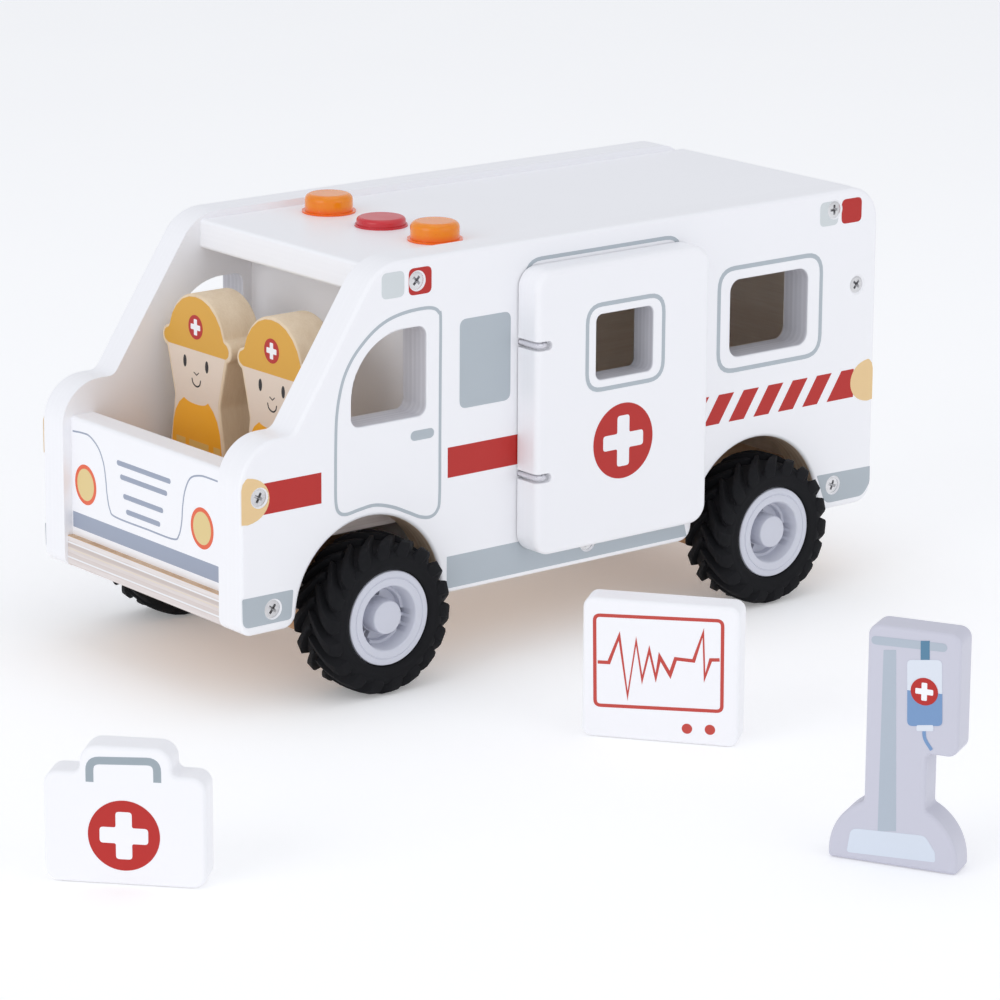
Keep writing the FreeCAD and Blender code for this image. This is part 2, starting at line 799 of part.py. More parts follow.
def hub_outline():
    """Radius and height of the hub's section, from its inner end outward."""
    end = f"({HUB_OUT} - {HUB_IN})"
    bead = f"({TYRE_IN} - {HUB_IN} + hub_inset)"
    band = f"({end} - hub_step)"
    web_top = f"({end} - web_deep)"
    web_low = f"({web_top} - web_thick)"
    cover = f"({AXLE_END} - {HUB_IN})"
    inner_wall = "(dish_radius + dish_wall)"
    outer_wall = "(hub_radius - hub_wall)"
    under = f"({band} - hub_band)"
    return [("axle_radius", "0"), ("boss_radius", "0"), ("boss_radius", web_low),
            (inner_wall, web_low), (inner_wall, under), (outer_wall, under),
            (outer_wall, bead), ("hub_radius", bead), ("hub_radius", end),
            ("(hub_radius - hub_lip)", end), ("(hub_radius - hub_lip - hub_lip / 2)", band),
            ("(dish_radius + hub_lip / 2)", f"({band} - hub_step / 2)"),
            ("dish_radius", f"({band} - hub_step)"), ("dish_radius", web_top),
            ("boss_radius", web_top), ("boss_radius", f"({end} - boss_short)"),
            ("0", f"({end} - boss_short)"), ("0", cover), ("axle_radius", cover)]


def wheel_placement(sign, axle):
    """Where a wheel part with its own Z along the axle stands."""
    at = V(sign * num(HUB_IN), num(axle), num(AXLE_UP))
    return place(at, X_AXIS * sign)


def make_hub(label, sign, axle):
    """Plastic hub: rim, deep dish with windows between its ribs, and boss."""
    body = new_body()
    turned = spin(body, hub_outline())
    sketch = new_sketch(body, "XY_Plane")
    middle = "((dish_radius + boss_radius) / 2)"
    circle(sketch, middle, "0", "web_window")
    hole = pocket(body, sketch, turned.Shape.Volume)
    pattern = body.newObject("PartDesign::PolarPattern", "Windows")
    pattern.Originals = [hole]
    pattern.Axis = (sketch, ["N_Axis"])
    pattern.Angle = FULL_TURN
    pattern.Occurrences = WEB_WINDOWS
    body.Tip = pattern
    DOC.recompute()
    body.Placement = wheel_placement(sign, axle)
    keep(body, label)


def tyre_outline():
    """Radius and height of the tyre's section."""
    low = f"({TYRE_IN} - {HUB_IN})"
    high = f"({low} + tyre_wide)"
    bead_low = f"({low} + hub_inset)"
    bead_high = f"({high} - hub_inset)"
    foot = "(hub_radius + tyre_bulge)"
    shoulder = "(tyre_radius - tyre_shoulder)"
    return [("hub_radius", bead_low), (foot, low), (shoulder, low),
            ("tyre_radius", f"({low} + tyre_shoulder)"),
            ("tyre_radius", f"({high} - tyre_shoulder)"), (shoulder, high),
            (foot, high), ("hub_radius", bead_high)]


def lug_gaps(body, side):
    """One slanted gap between two lugs, from a shoulder to near the middle."""
    low = f"({TYRE_IN} - {HUB_IN})"
    middle = f"({low} + tyre_wide / 2)"
    pitch = f"(2 * pi * tyre_radius / {LUGS})"
    shift = "0" if side > 0 else f"({pitch} / 2)"
    edge = f"({middle} + {side} * (tyre_wide / 2 + cut_past))"
    inner = f"({middle} + {side} * lug_gap / 2)"
    corners = [(f"({shift} - lug_gap / 2)", edge), (f"({shift} + lug_gap / 2)", edge),
               (f"({shift} + lug_gap / 2 + lug_slant)", inner),
               (f"({shift} - lug_gap * {GAP_INNER_SHARE} + lug_slant)", inner)]
    sketch = new_sketch(body, "YZ_Plane")
    bind(sketch, "AttachmentOffset.Base.z", "tyre_radius - lug_deep")
    polygon(sketch, corners)
    made = body.newObject("PartDesign::Pocket", "Gap")
    made.Profile = sketch
    bind(made, "Length", "lug_deep + cut_past")
    made.Reversed = True
    DOC.recompute()
    return made


def make_tyre(label, sign, axle):
    """Rubber tyre with slanted lugs on both shoulders."""
    body = new_body()
    turned = spin(body, tyre_outline())
    volume = turned.Shape.Volume
    gaps = [lug_gaps(body, side) for side in (1, -1)]
    if gaps[1].Shape.Volume >= gaps[0].Shape.Volume or gaps[0].Shape.Volume >= volume:
        raise RuntimeError("a lug gap removed nothing")
    pattern = body.newObject("PartDesign::PolarPattern", "Lugs")
    pattern.Originals = gaps
    z_axis = next(f for f in body.Origin.OriginFeatures if f.Role == "Z_Axis")
    pattern.Axis = (z_axis, [""])
    pattern.Angle = FULL_TURN
    pattern.Occurrences = LUGS
    body.Tip = pattern
    DOC.recompute()
    body.Placement = wheel_placement(sign, axle)
    keep(body, label)


def make_wheels():
    """Axles, hubs and tyres."""
    for name, axle in (("front", FRONT_AXLE), ("rear", REAR_AXLE)):
        at = spot(f"-{AXLE_END}", axle, AXLE_UP)
        keep(rod("axle_radius", f"2 * {AXLE_END}", at, X_AXIS), f"{name}_axle")
        for side, sign in (("left", 1), ("right", -1)):
            make_hub(f"{name}_{side}_hub", sign, axle)
            make_tyre(f"{name}_{side}_tyre", sign, axle)


def cord_groove(level):
    """Groove round the door's hinge edge and the hole that the cord goes into."""
    clear = "(cord_radius + cord_clear)"
    upright = (f"{level} - groove_half", f"{level} + groove_half")
    side = box((f"{DOOR_IN} - cut_past", f"{DOOR_OUT} + cut_past"),
               (f"{DOOR_FRONT} - cut_past", f"{CORD_LINE} + {clear}"), upright)
    ridge = f"{CORD_BEND} + cord_turn - {clear}"
    face = box((ridge, f"{DOOR_OUT} + cut_past"),
               (f"{DOOR_FRONT} - cut_past", CORD_HOLE), upright)
    at = spot(f"{DOOR_OUT} + cut_past", CORD_HOLE, level)
    deep = f"{DOOR_OUT} - {CORD_BEND} + cord_tail + cord_clear + cut_past"
    hole = rod(clear, deep, at, X_AXIS * -1)
    mouth = rod("groove_half", f"{DOOR_OUT} - ({ridge}) + cut_past", at, X_AXIS * -1)
    return fuse([side, face, hole, mouth])


def make_door():
    """Thick door with its window and the grooves for the two hinge cords."""
    body = new_body()
    corners = rectangle(DOOR_FRONT, DOOR_REAR, DOOR_LOW, DOOR_TOP)
    sketch = new_sketch(body, "YZ_Plane")
    polygon(sketch, corners)
    feature = pad(body, sketch, "door_thick")
    feature = round_corners(body, feature, 0, [("door_round", corners)])
    names = level_edges(feature, 0, num("door_thick"))
    feature = fillet(body, feature, names, "door_rim")
    window_front = f"({DOOR_FRONT} + door_window_back)"
    window_top = f"({DOOR_TOP} - door_window_drop)"
    window = rectangle(window_front, f"({window_front} + door_window_wide)",
                       f"({window_top} - door_window_high)", window_top)
    sketch = new_sketch(body, "YZ_Plane")
    polygon(sketch, window)
    feature = pocket(body, sketch, feature.Shape.Volume)
    feature = round_corners(body, feature, 0, [("door_window_round", window)])
    names = level_edges(feature, 0, num("door_thick"), within=[window])
    fillet(body, feature, names, "window_rim")
    body.Placement = place(V(num(DOOR_IN), 0, 0))
    keep(cut(body, [cord_groove(level) for level in CORD_LEVELS.values()]), "side_door")


def cord_bore(level):
    """Hole through the left panel for a hinge cord."""
    at = spot("inner_half - cut_past", CORD_LINE, level)
    return rod("cord_radius", "panel_thick + 2 * cut_past", at, X_AXIS)


def make_hinge_cords():
    """Elastic cords: one stretch on the door each, and the knotted ends in the panel."""
    ends = []
    seam = f"({OUTER} + door_gap / 2)"
    for name, level in CORD_LEVELS.items():
        start = f"({seam} + cord_seam / 2)"
        run = rod("cord_radius", f"{CORD_BEND} - {start}", spot(start, CORD_LINE, level), X_AXIS)
        bend = DOC.addObject("Part::Torus", "Bend")
        bind(bend, "Radius1", "cord_turn")
        bind(bend, "Radius2", "cord_radius")
        bend.Angle3 = HALF_TURN
        middle = spot(CORD_BEND, f"{CORD_LINE} + cord_turn", level)
        bend.Placement = FreeCAD.Placement(middle, FreeCAD.Rotation(Z_AXIS, -QUARTER_TURN))
        tail = rod("cord_radius", "cord_tail", spot(CORD_BEND, CORD_HOLE, level), X_AXIS * -1)
        keep(fuse([run, bend, tail]), f"{name}_door_elastic")
        length = f"{seam} - cord_seam / 2 - inner_half"
        stub = rod("cord_radius", length, spot("inner_half", CORD_LINE, level), X_AXIS)
        knot = rod("knot_radius", "knot_long", spot("inner_half", CORD_LINE, level), X_AXIS * -1)
        ends.append(fuse([stub, knot]))
    keep(group(ends), "door_elastic_ends")


def make_lens(label, x):
    """Hollow beacon lens with a flange on the roof and a skirt in its hole."""
    body = new_body()
    inside = "(lens_radius - lens_wall)"
    neck_in = f"({LENS_NECK} - lens_wall)"
    corners = [(neck_in, "(0 - lens_skirt)"), (LENS_NECK, "(0 - lens_skirt)"), (LENS_NECK, "0"),
               ("(lens_radius + lens_flange)", "0"), ("(lens_radius + lens_flange)", "flange_thick"),
               ("lens_radius", "flange_thick"), ("lens_radius", "lens_high"), ("0", "lens_high"),
               ("0", "(lens_high - lens_wall)"), (inside, "(lens_high - lens_wall)"),
               (inside, "flange_thick"), (neck_in, "flange_thick")]
    feature = spin(body, corners)
    fillet(body, feature, ring_edges(feature, [("lens_radius", "lens_high")]), "lens_round")
    body.Placement = place(spot(x, LIGHT_BACK, ROOF_TOP))
    keep(body, label)


def make_button_ring():
    """Bezel of the siren button: lip on the roof, sleeve through it and a floor."""
    body = new_body()
    inside = "(button_radius + button_fit)"
    floor_low = f"({RING_FLOOR_LOW} - {ROOF_TOP})"
    floor_top = f"({RING_FLOOR_TOP} - {ROOF_TOP})"
    stem = "(stem_radius + button_fit)"
    spin(body, [(stem, floor_low), (SLEEVE_RADIUS, floor_low), (SLEEVE_RADIUS, "0"),
                (f"(button_radius + button_fit + ring_lip)", "0"),
                (f"(button_radius + button_fit + ring_lip)", "ring_thick"),
                (inside, "ring_thick"), (inside, floor_top), (stem, floor_top)])
    body.Placement = place(spot("0", LIGHT_BACK, ROOF_TOP))
    keep(body, "siren_button_ring")


def make_button():
    """Siren button: cap, stem through the bezel's floor and the clip below it."""
    body = new_body()
    top = "button_high"
    under = "(button_high - button_wall)"
    edge = f"({BUTTON_EDGE} - {ROOF_TOP})"
    low = f"({STEM_LOW} - {ROOF_TOP})"
    clip_top = f"({low} + clip_thick)"
    clip = "(stem_radius + stem_clip)"
    skirt = "(button_radius - button_wall)"
    feature = spin(body, [("0", low), (clip, low), (clip, clip_top), ("stem_radius", clip_top),
                          ("stem_radius", under), (skirt, under), (skirt, edge),
                          ("button_radius", edge), ("button_radius", top), ("0", top)])
    fillet(body, feature, ring_edges(feature, [("button_radius", top)]), "button_round")
    body.Placement = place(spot("0", LIGHT_BACK, ROOF_TOP))
    keep(body, "siren_button")


def make_spring():
    """Coil under the button's cap, an unbroken row of tilted half turns of round wire."""
    pitch = f"(({SPRING_HIGH} - ({SPRING_LOW})) / {SPRING_TURNS})"
    print(f"spring gap between turns {num(pitch) - 2 * num('spring_wire'):.2f} mm")
    quarter = f"{pitch} / 4"
    tilt = math.degrees(math.atan(num(quarter) / num("spring_radius")))
    halves = []
    for k in range(2 * SPRING_TURNS):
        half = DOC.addObject("Part::Torus", "HalfTurn")
        bind(half, "Radius1", f"sqrt(spring_radius ^ 2 + ({quarter}) ^ 2)")
        bind(half, "Radius2", "spring_wire")
        half.Angle3 = HALF_TURN
        back = k % 2
        turn = FreeCAD.Rotation(Y_AXIS, -tilt if back else tilt)
        if back:
            turn = turn.multiply(FreeCAD.Rotation(Z_AXIS, HALF_TURN))
        up = f"{SPRING_LOW} + {2 * k + 1} * {quarter}"
        half.Placement = FreeCAD.Placement(spot("0", LIGHT_BACK, up), turn)
        halves.append(half)
    keep(fuse(halves), "button_spring")


def roof_tools():
    """Holes in the roof for the lenses and the siren button."""
    past = "board_thick + 2 * cut_past"
    tools = []
    for x, radius in ((BEACON_APART, LENS_NECK), (f"-{BEACON_APART}", LENS_NECK), ("0", SLEEVE_RADIUS)):
        tools.append(rod(radius, past, spot(x, LIGHT_BACK, f"{ROOF_LOW} - cut_past")))
    return tools


def cover_screw_spot(level):
    """Point on the line of the battery cover's screw."""
    return spot("0 - small_head", f"{UNIT_REAR} - unit_wall - small_head", level)


def make_battery_cover():
    """Lid of the unit, let into its walls, and its screw; returns the screw's hole."""
    inner = f"({UNIT_HALF} - unit_wall - cover_fit)"
    span = (f"{UNIT_FRONT} + unit_wall + cover_fit", f"{UNIT_REAR} - unit_wall - cover_fit")
    lid = box((f"-{inner}", inner), span, (UNIT_LOW, COVER_TOP))
    made, hole = small_screw(cover_screw_spot(UNIT_LOW), Z_AXIS)
    keep(made, "battery_cover_screw")
    keep(cut(lid, [hole]), "battery_cover")
    return hole


def housing_ears():
    """Ears at both ends of the housing, with a screw up into the roof through each."""
    middle = f"({UNIT_FRONT} + unit_long / 2)"
    span = (f"{middle} - ear_wide / 2", f"{middle} + ear_wide / 2")
    ears, screws, holes = [], [], []
    for sign, near, far in (("-", f"-({UNIT_HALF} + ear_long)", f"-{UNIT_HALF}"),
                            ("", UNIT_HALF, f"{UNIT_HALF} + ear_long")):
        ears.append(box((near, far), span, (f"{ROOF_LOW} - ear_thick", ROOF_LOW)))
        at = spot(f"{sign}({UNIT_HALF} + ear_long / 2)", middle, f"{ROOF_LOW} - ear_thick")
        made, hole = small_screw(at, Z_AXIS)
        screws.append(made)
        holes.append(hole)
    keep(group(screws), "housing_screws")
    return ears, holes


def housing_posts():
    """Posts that carry the circuit board, and the longer one for the cover's screw."""
    rear = f"{UNIT_REAR} - unit_wall - post_inset"
    posts = [rod("post_radius", f"{UNIT_CEILING} - {COVER_TOP}", cover_screw_spot(COVER_TOP))]
    for sign in ("-", ""):
        for along in (f"{UNIT_FRONT} + unit_wall + post_inset", rear):
            at = spot(f"{sign}({UNIT_HALF} - unit_wall - post_inset)", along, CIRCUIT_TOP)
            posts.append(rod("post_radius", "post_long", at))
    return posts


def make_unit_housing(cover_hole):
    """Plastic housing under the roof, open below; returns its screw holes in the roof."""
    outer = box((f"-{UNIT_HALF}", UNIT_HALF), (UNIT_FRONT, UNIT_REAR), (UNIT_LOW, ROOF_LOW))
    room = box((f"unit_wall - {UNIT_HALF}", f"{UNIT_HALF} - unit_wall"),
               (f"{UNIT_FRONT} + unit_wall", f"{UNIT_REAR} - unit_wall"),
               (f"{UNIT_LOW} - cut_past", UNIT_CEILING))
    ears, ear_holes = housing_ears()
    holes = []
    for x, radius in ((BEACON_APART, "lamp_hole"), (f"-{BEACON_APART}", "lamp_hole"),
                      ("0", "(stem_radius + 2 * stem_clip)")):
        at = spot(x, LIGHT_BACK, f"{UNIT_CEILING} - cut_past")
        holes.append(rod(radius, "unit_wall + 2 * cut_past", at))
    shell = cut(fuse([outer] + ears), [room])
    whole = fuse([shell] + housing_posts())
    keep(cut(whole, holes + ear_holes + [cover_hole]), "sound_unit_housing")
    return ear_holes


def make_electronics():
    """Circuit board, switch, lamps, speaker, cells and their contact strip."""
    inner = f"({UNIT_HALF} - unit_wall - circuit_gap)"
    span = (f"{UNIT_FRONT} + unit_wall + circuit_gap", f"{UNIT_REAR} - unit_wall - circuit_gap")
    plain = box((f"-{inner}", inner), span, (CIRCUIT_LOW, CIRCUIT_TOP))
    at = cover_screw_spot(f"{CIRCUIT_LOW} - cut_past")
    gap = rod("post_radius + cover_fit", "circuit_thick + 2 * cut_past", at)
    keep(cut(plain, [gap]), "circuit_board")
    switch_top = f"({STEM_LOW} - button_travel - button_fit)"
    base = box(("-switch_half", "switch_half"),
               (f"{LIGHT_BACK} - switch_half", f"{LIGHT_BACK} + switch_half"),
               (CIRCUIT_TOP, f"{CIRCUIT_TOP} + switch_high"))
    tip = rod("switch_half / 2", f"{switch_top} - {CIRCUIT_TOP}", spot("0", LIGHT_BACK, CIRCUIT_TOP))
    keep(fuse([base, tip]), "push_switch")
    lamps = []
    for x in (BEACON_APART, f"-{BEACON_APART}"):
        top = f"({ROOF_TOP} + lamp_rise)"
        base = rod("lamp_radius + lamp_base", "lamp_base", spot(x, LIGHT_BACK, CIRCUIT_TOP))
        stem = rod("lamp_radius", f"{top} - {CIRCUIT_TOP} - lamp_radius", spot(x, LIGHT_BACK, CIRCUIT_TOP))
        dome = DOC.addObject("Part::Sphere", "Dome")
        bind(dome, "Radius", "lamp_radius")
        dome.Placement = place(spot(x, LIGHT_BACK, f"{top} - lamp_radius"))
        lamps.append(fuse([base, stem, dome]))
    keep(group(lamps), "beacon_lamps")
    middle = f"({UNIT_FRONT} + unit_long / 2)"
    at = spot(f"-{SPEAKER_ACROSS}", middle, COVER_TOP)
    cone_ring = rod("speaker_radius", "speaker_high / 2", at)
    magnet = rod("speaker_magnet", "speaker_high", at)
    keep(fuse([cone_ring, magnet]), "speaker")
    count = int(num(f"({UNIT_HALF} - unit_wall - cell_inset) / cell_pitch"))
    cells = []
    for k in range(count):
        at = spot(f"{k} * cell_pitch + cell_pitch / 2", middle, COVER_TOP)
        cells.append(rod("cell_radius", "cell_high", at))
    keep(group(cells), "button_cells")
    strip = box(("0", f"{count} * cell_pitch"),
                (f"{middle} - contact_wide / 2", f"{middle} + contact_wide / 2"),
                (f"{COVER_TOP} + cell_high", f"{COVER_TOP} + cell_high + contact_thick"))
    leg = box((f"{count} * cell_pitch - contact_thick", f"{count} * cell_pitch"),
              (f"{middle} - contact_wide / 2", f"{middle} + contact_wide / 2"),
              (f"{COVER_TOP} + cell_high", CIRCUIT_LOW))
    keep(fuse([strip, leg]), "battery_contact")


def share_spot(shares, sign=1):
    """Point of a figure's outline from shares of its half width and height."""
    return V(sign * shares[0] * num(FIGURE_HALF), shares[1] * num("figure_high"), 0)


def figure_edges():
    """Lines and arcs round a figure, from its right foot round the hat and back."""
    edges = []
    for sign in (1, -1):
        foot = V(sign * BODY_SHARES[0] * num(FIGURE_HALF), 0, 0)
        body = share_spot(BODY_SHARES, sign)
        side = [Part.LineSegment(foot, body)]
        last = body
        for middle, end in (NECK_SHARES, CHEEK_SHARES, BRIM_SHARES):
            side.append(Part.Arc(last, share_spot(middle, sign), share_spot(end, sign)))
            last = share_spot(end, sign)
        edges += side
    left_brim = share_spot(BRIM_SHARES[1], -1)
    right_brim = share_spot(BRIM_SHARES[1], 1)
    edges.append(Part.Arc(right_brim, V(0, num("figure_high"), 0), left_brim))
    foot = BODY_SHARES[0] * num(FIGURE_HALF)
    edges.append(Part.LineSegment(V(-foot, 0, 0), V(foot, 0, 0)))
    return edges


def make_figure(label, x):
    """Flat wooden figure with a helmet, standing on the cab floor."""
    body = new_body()
    sketch = new_sketch(body, "XZ_Plane")
    for edge in figure_edges():
        sketch.addGeometry(edge, False)
    feature = pad(body, sketch, "figure_thick")
    bends = [BODY_SHARES, NECK_SHARES[1]]
    notches = [CHEEK_SHARES[1], BRIM_SHARES[1]]
    for radius, shares in (("figure_bend", bends), ("figure_notch", notches)):
        places = [share_spot(s, sign) for s in shares for sign in (1, -1)]
        names = corner_edges(feature, 1, [(p.x, p.y) for p in places])
        feature = fillet(body, feature, names, radius)
    names = level_edges(feature, 1, 0) + level_edges(feature, 1, num("figure_thick"))
    fillet(body, feature, names, "figure_rim")
    body.Placement = place(spot(x, "figure_front", FLOOR_TOP))
    keep(body, label)


def stand_up(body, right, back, turn):
    """Turn an accessory about Z and set it on the floor."""
    turned = FreeCAD.Rotation(Z_AXIS, num(turn))
    body.Placement = FreeCAD.Placement(spot(right, back, "0"), turned)


def soften(body, feature, thick):
    """Round the rims of both faces of a padded accessory."""
    names = level_edges(feature, 1, 0) + level_edges(feature, 1, num(thick))
    fillet(body, feature, names, "toy_rim")


def make_monitor():
    """Heart monitor: a thick rounded rectangle."""
    body = new_body()
    corners = rectangle("0", "monitor_wide", "0", "monitor_high")
    sketch = new_sketch(body, "XZ_Plane")
    polygon(sketch, corners)
    feature = pad(body, sketch, "toy_thick")
    feature = round_corners(body, feature, 1, [("monitor_round", corners)])
    soften(body, feature, "toy_thick")
    stand_up(body, "monitor_right", "monitor_back", "monitor_turn")
    keep(body, "heart_monitor")


def make_case():
    """First aid case: a thick slab with a raised handle."""
    body = new_body()
    low_left, low_right = ("0", "0"), ("case_wide", "0")
    top_left, top_right = ("0", "case_high"), ("case_wide", "case_high")
    near, far = "case_handle_in", "(case_wide - case_handle_out)"
    peak = "(case_high + case_handle_high)"
    necks = [(near, "case_high"), (far, "case_high")]
    peaks = [(near, peak), (far, peak)]
    sketch = new_sketch(body, "XZ_Plane")
    polygon(sketch, [low_left, top_left, necks[0], peaks[0], peaks[1], necks[1], top_right, low_right])
    feature = pad(body, sketch, "toy_thick")
    rounds = [("case_round", [low_left, low_right, top_left, top_right]),
              ("case_neck_round", necks), ("case_handle_round", peaks)]
    feature = round_corners(body, feature, 1, rounds)
    soften(body, feature, "toy_thick")
    stand_up(body, "case_right", "0 - case_ahead", "case_turn")
    keep(body, "first_aid_case")


def arc_middle(across, rise):
    """Middle of an arc that starts upright at the foot and ends this far in and up."""
    radius = (across ** 2 + rise ** 2) / (2 * across)
    half = math.atan2(rise, radius - across) / 2
    return radius * (1 - math.cos(half)), radius * math.sin(half)


def make_stand():
    """Drip stand: domed base, column and the arm with the bag."""
    body = new_body()
    wide, foot, waist = num("stand_base"), num("stand_foot"), num("stand_base_high")
    near = num("stand_column_in")
    far = num("stand_column_in + stand_column")
    tip = num("stand_column_in + stand_column + stand_arm")
    arm, top = num("stand_arm_low"), num("stand_high")
    across, up = arc_middle(near, waist - foot)
    left_curve = V(across, foot + up, 0)
    across, up = arc_middle(wide - far, waist - foot)
    right_curve = V(wide - across, foot + up, 0)
    left = [V(0, 0, 0), V(0, foot, 0), V(near, waist, 0), V(near, top, 0)]
    right = [V(tip, top, 0), V(tip, arm, 0), V(far, arm, 0), V(far, waist, 0),
             V(wide, foot, 0), V(wide, 0, 0)]
    edges = [Part.LineSegment(left[0], left[1]), Part.Arc(left[1], left_curve, left[2]),
             Part.LineSegment(left[2], left[3]), Part.LineSegment(left[3], right[0]),
             Part.LineSegment(right[0], right[1]), Part.LineSegment(right[1], right[2]),
             Part.LineSegment(right[2], right[3]), Part.Arc(right[3], right_curve, right[4]),
             Part.LineSegment(right[4], right[5]), Part.LineSegment(right[5], left[0])]
    sketch = new_sketch(body, "XZ_Plane")
    for edge in edges:
        sketch.addGeometry(edge, False)
    feature = pad(body, sketch, "toy_thick")
    column_far = "(stand_column_in + stand_column)"
    reach = "(stand_column_in + stand_column + stand_arm)"
    rounds = [("stand_round", [("stand_column_in", "stand_high"), (reach, "stand_high"),
                               (reach, "stand_arm_low")]),
              ("toy_rim", [("0", "0"), ("stand_base", "0"), (column_far, "stand_arm_low"),
                           ("stand_column_in", "stand_base_high"),
                           (column_far, "stand_base_high")])]
    feature = round_corners(body, feature, 1, rounds)
    soften(body, feature, "toy_thick")
    stand_up(body, "stand_right", "stand_back", "stand_turn")
    keep(body, "drip_stand")


def build():
    """Make every sub-part."""
    screw_holes = make_panel_screws()
    make_side_panel("left", 1, screw_holes["left"])
    make_side_panel("right", -1, screw_holes["right"])
    block_holes = make_axle_blocks()
    ear_holes = make_unit_housing(make_battery_cover())
    make_boards(screw_holes, block_holes, roof_tools() + ear_holes)
    make_wheels()
    make_door()
    make_hinge_cords()
    make_lens("left_beacon_lens", BEACON_APART)
    make_lens("right_beacon_lens", f"-{BEACON_APART}")
    make_button_ring()
    make_button()
    make_spring()
    make_electronics()
    make_figure("driver_figure", f"-{FIGURE_APART}")
    make_figure("partner_figure", FIGURE_APART)
    make_monitor()
    make_case()
    make_stand()
    DOC.recompute()


def check():
    """Stop if any object failed or any sub-part is empty or not valid."""
    for thing in DOC.Objects:
        if "Invalid" in thing.State or "Error" in thing.State:
            raise RuntimeError(f"{thing.Name} ({thing.Label}) failed: {thing.State}")
    for part in SUB_PARTS:
        if part.Shape.isNull() or not part.Shape.isValid() or not part.Shape.Solids:
            raise RuntimeError(f"{part.Label} has no valid shape")


def centre():
    """Move every sub-part so that the origin is the set's bottom centre."""
    whole = FreeCAD.BoundBox()
    for part in SUB_PARTS:
        whole.add(part.Shape.optimalBoundingBox(False, False))
    shift = V(-whole.Center.x, -whole.Center.y, -whole.ZMin)
    for part in SUB_PARTS:
        moved = FreeCAD.Placement(part.Placement)
        moved.Base = moved.Base + shift
        part.Placement = moved
    print(f"shift {shift.x:.4f} {shift.y:.4f} {shift.z:.4f}")
    print(f"size {whole.XLength:.2f} {whole.YLength:.2f} {whole.ZLength:.2f}")


def export():
    """Write one STEP file for each sub-part."""
    os.makedirs("parts", exist_ok=True)
    for part in SUB_PARTS:
        part.Shape.exportStep(f"parts/{part.Label}.step")


build()
check()
centre()
check()
export()
print(f"{len(SUB_PARTS)} sub-parts written")
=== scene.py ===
import math

import bmesh
import bpy
from bpy.props import (FloatProperty, FloatVectorProperty, IntProperty,
                       PointerProperty)
from mathutils import Matrix, Vector
from mathutils.geometry import tessellate_polygon


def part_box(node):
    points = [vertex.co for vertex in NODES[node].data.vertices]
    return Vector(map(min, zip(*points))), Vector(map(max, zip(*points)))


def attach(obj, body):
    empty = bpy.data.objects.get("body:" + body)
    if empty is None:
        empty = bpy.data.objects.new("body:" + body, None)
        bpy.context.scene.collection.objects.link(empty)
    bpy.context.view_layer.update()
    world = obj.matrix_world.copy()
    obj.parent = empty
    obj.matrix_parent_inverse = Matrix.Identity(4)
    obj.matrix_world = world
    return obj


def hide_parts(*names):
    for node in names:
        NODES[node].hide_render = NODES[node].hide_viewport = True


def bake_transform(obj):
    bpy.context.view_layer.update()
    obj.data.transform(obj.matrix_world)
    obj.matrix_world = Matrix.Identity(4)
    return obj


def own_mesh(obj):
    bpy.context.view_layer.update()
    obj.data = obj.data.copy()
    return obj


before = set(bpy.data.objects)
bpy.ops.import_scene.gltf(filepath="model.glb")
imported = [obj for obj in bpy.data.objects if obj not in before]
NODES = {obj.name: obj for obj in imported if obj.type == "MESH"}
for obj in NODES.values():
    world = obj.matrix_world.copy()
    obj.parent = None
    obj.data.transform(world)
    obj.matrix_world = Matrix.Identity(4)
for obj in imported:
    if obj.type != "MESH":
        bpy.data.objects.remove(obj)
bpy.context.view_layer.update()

bl_info = {
    "name": "Wooden Toy Ambulance",
    "version": (1, 0, 0),
    "blender": (4, 5, 0),
    "location": "View3D > Sidebar > Ambulance",
    "description": "Finishes, prints, tyres and small fittings of a wooden toy ambulance",
    "category": "Object",
}

MM = 0.001
SIDES = {"left": 1, "right": -1}
QUARTER = math.pi / 2
WHITE = (1, 1, 1, 1)

# Places and sizes in the vehicle's own millimetres.
PANEL_HALF = 69.0
PANEL_THICK = 15.0
BOARD_THICK = 12.0
BASE_LOW = 34.0
CAB_FLOOR_LOW = 61.0
ROOF_TOP = 167.6
ROOF_LOW = 155.6
HOOD_FACE = 4.0
BULKHEAD_FACE = 93.3
TAIL_FACE = 316.0
DOOR_FACE = 81.5
FIGURE_FACE = 46.0
FIGURE_FLOOR = 73.0
FIGURE_APART = 26.0
ARCH_CENTRES = (61.2, 263.2)
ARCH_HEIGHT = 35.5
ARCH_RADIUS = 35.2
AXLES = {"front": 63.6, "rear": 265.6}
AXLE_HEIGHT = 31.3
TYRE_IN, TYRE_OUT = 55.3, 79.3
HUB_RADIUS = 19.1
RIM = 78.6
CORD_LEVELS = {"upper": 129.9, "lower": 76.0}
CORD_FROM, CORD_LINE, CORD_BEND, CORD_TURN, CORD_HALF = 52.0, 135.9, 78.05, 2.2, 0.95
SCREW_PLACES = [(84.4, 161.3), (305.2, 162.4), (319.0, 128.6), (307.8, 42.8), (14.9, 41.7),
                (8.8, 86.8), (171.9, 41.3)]
SCREW_CLEAR = 4.15
CROSS_PLACE, CROSS_DISC, CROSS_SIZE = (179.4, 85.2), 15.6, (21, 6.3)

# Openings in the panels and the door, whose walls take painted shade, and the inside that is
# left bare: low Y, high Y, low Z, high Z.
CAB_WINDOW = (51.5, 93.0, 103.0, 146.0)
REAR_WINDOW = (243.0, 295.0, 103.0, 144.0)
DOOR_HOLE = (141.0, 214.0, 52.0, 155.0)
DOOR_WINDOW = (161.0, 199.0, 108.0, 143.0)
BARE_INSIDE = (99.0, 330.0, 0.0, ROOF_LOW + 0.3)

# Accessories on the floor: sideways, along and the turn in degrees.
MONITOR_SPOT = (162.3, 91.3, 37.8)
CASE_SPOT = (169.7, -154.5, 42.9)
STAND_SPOT = (316.5, 74.6, 27.4)

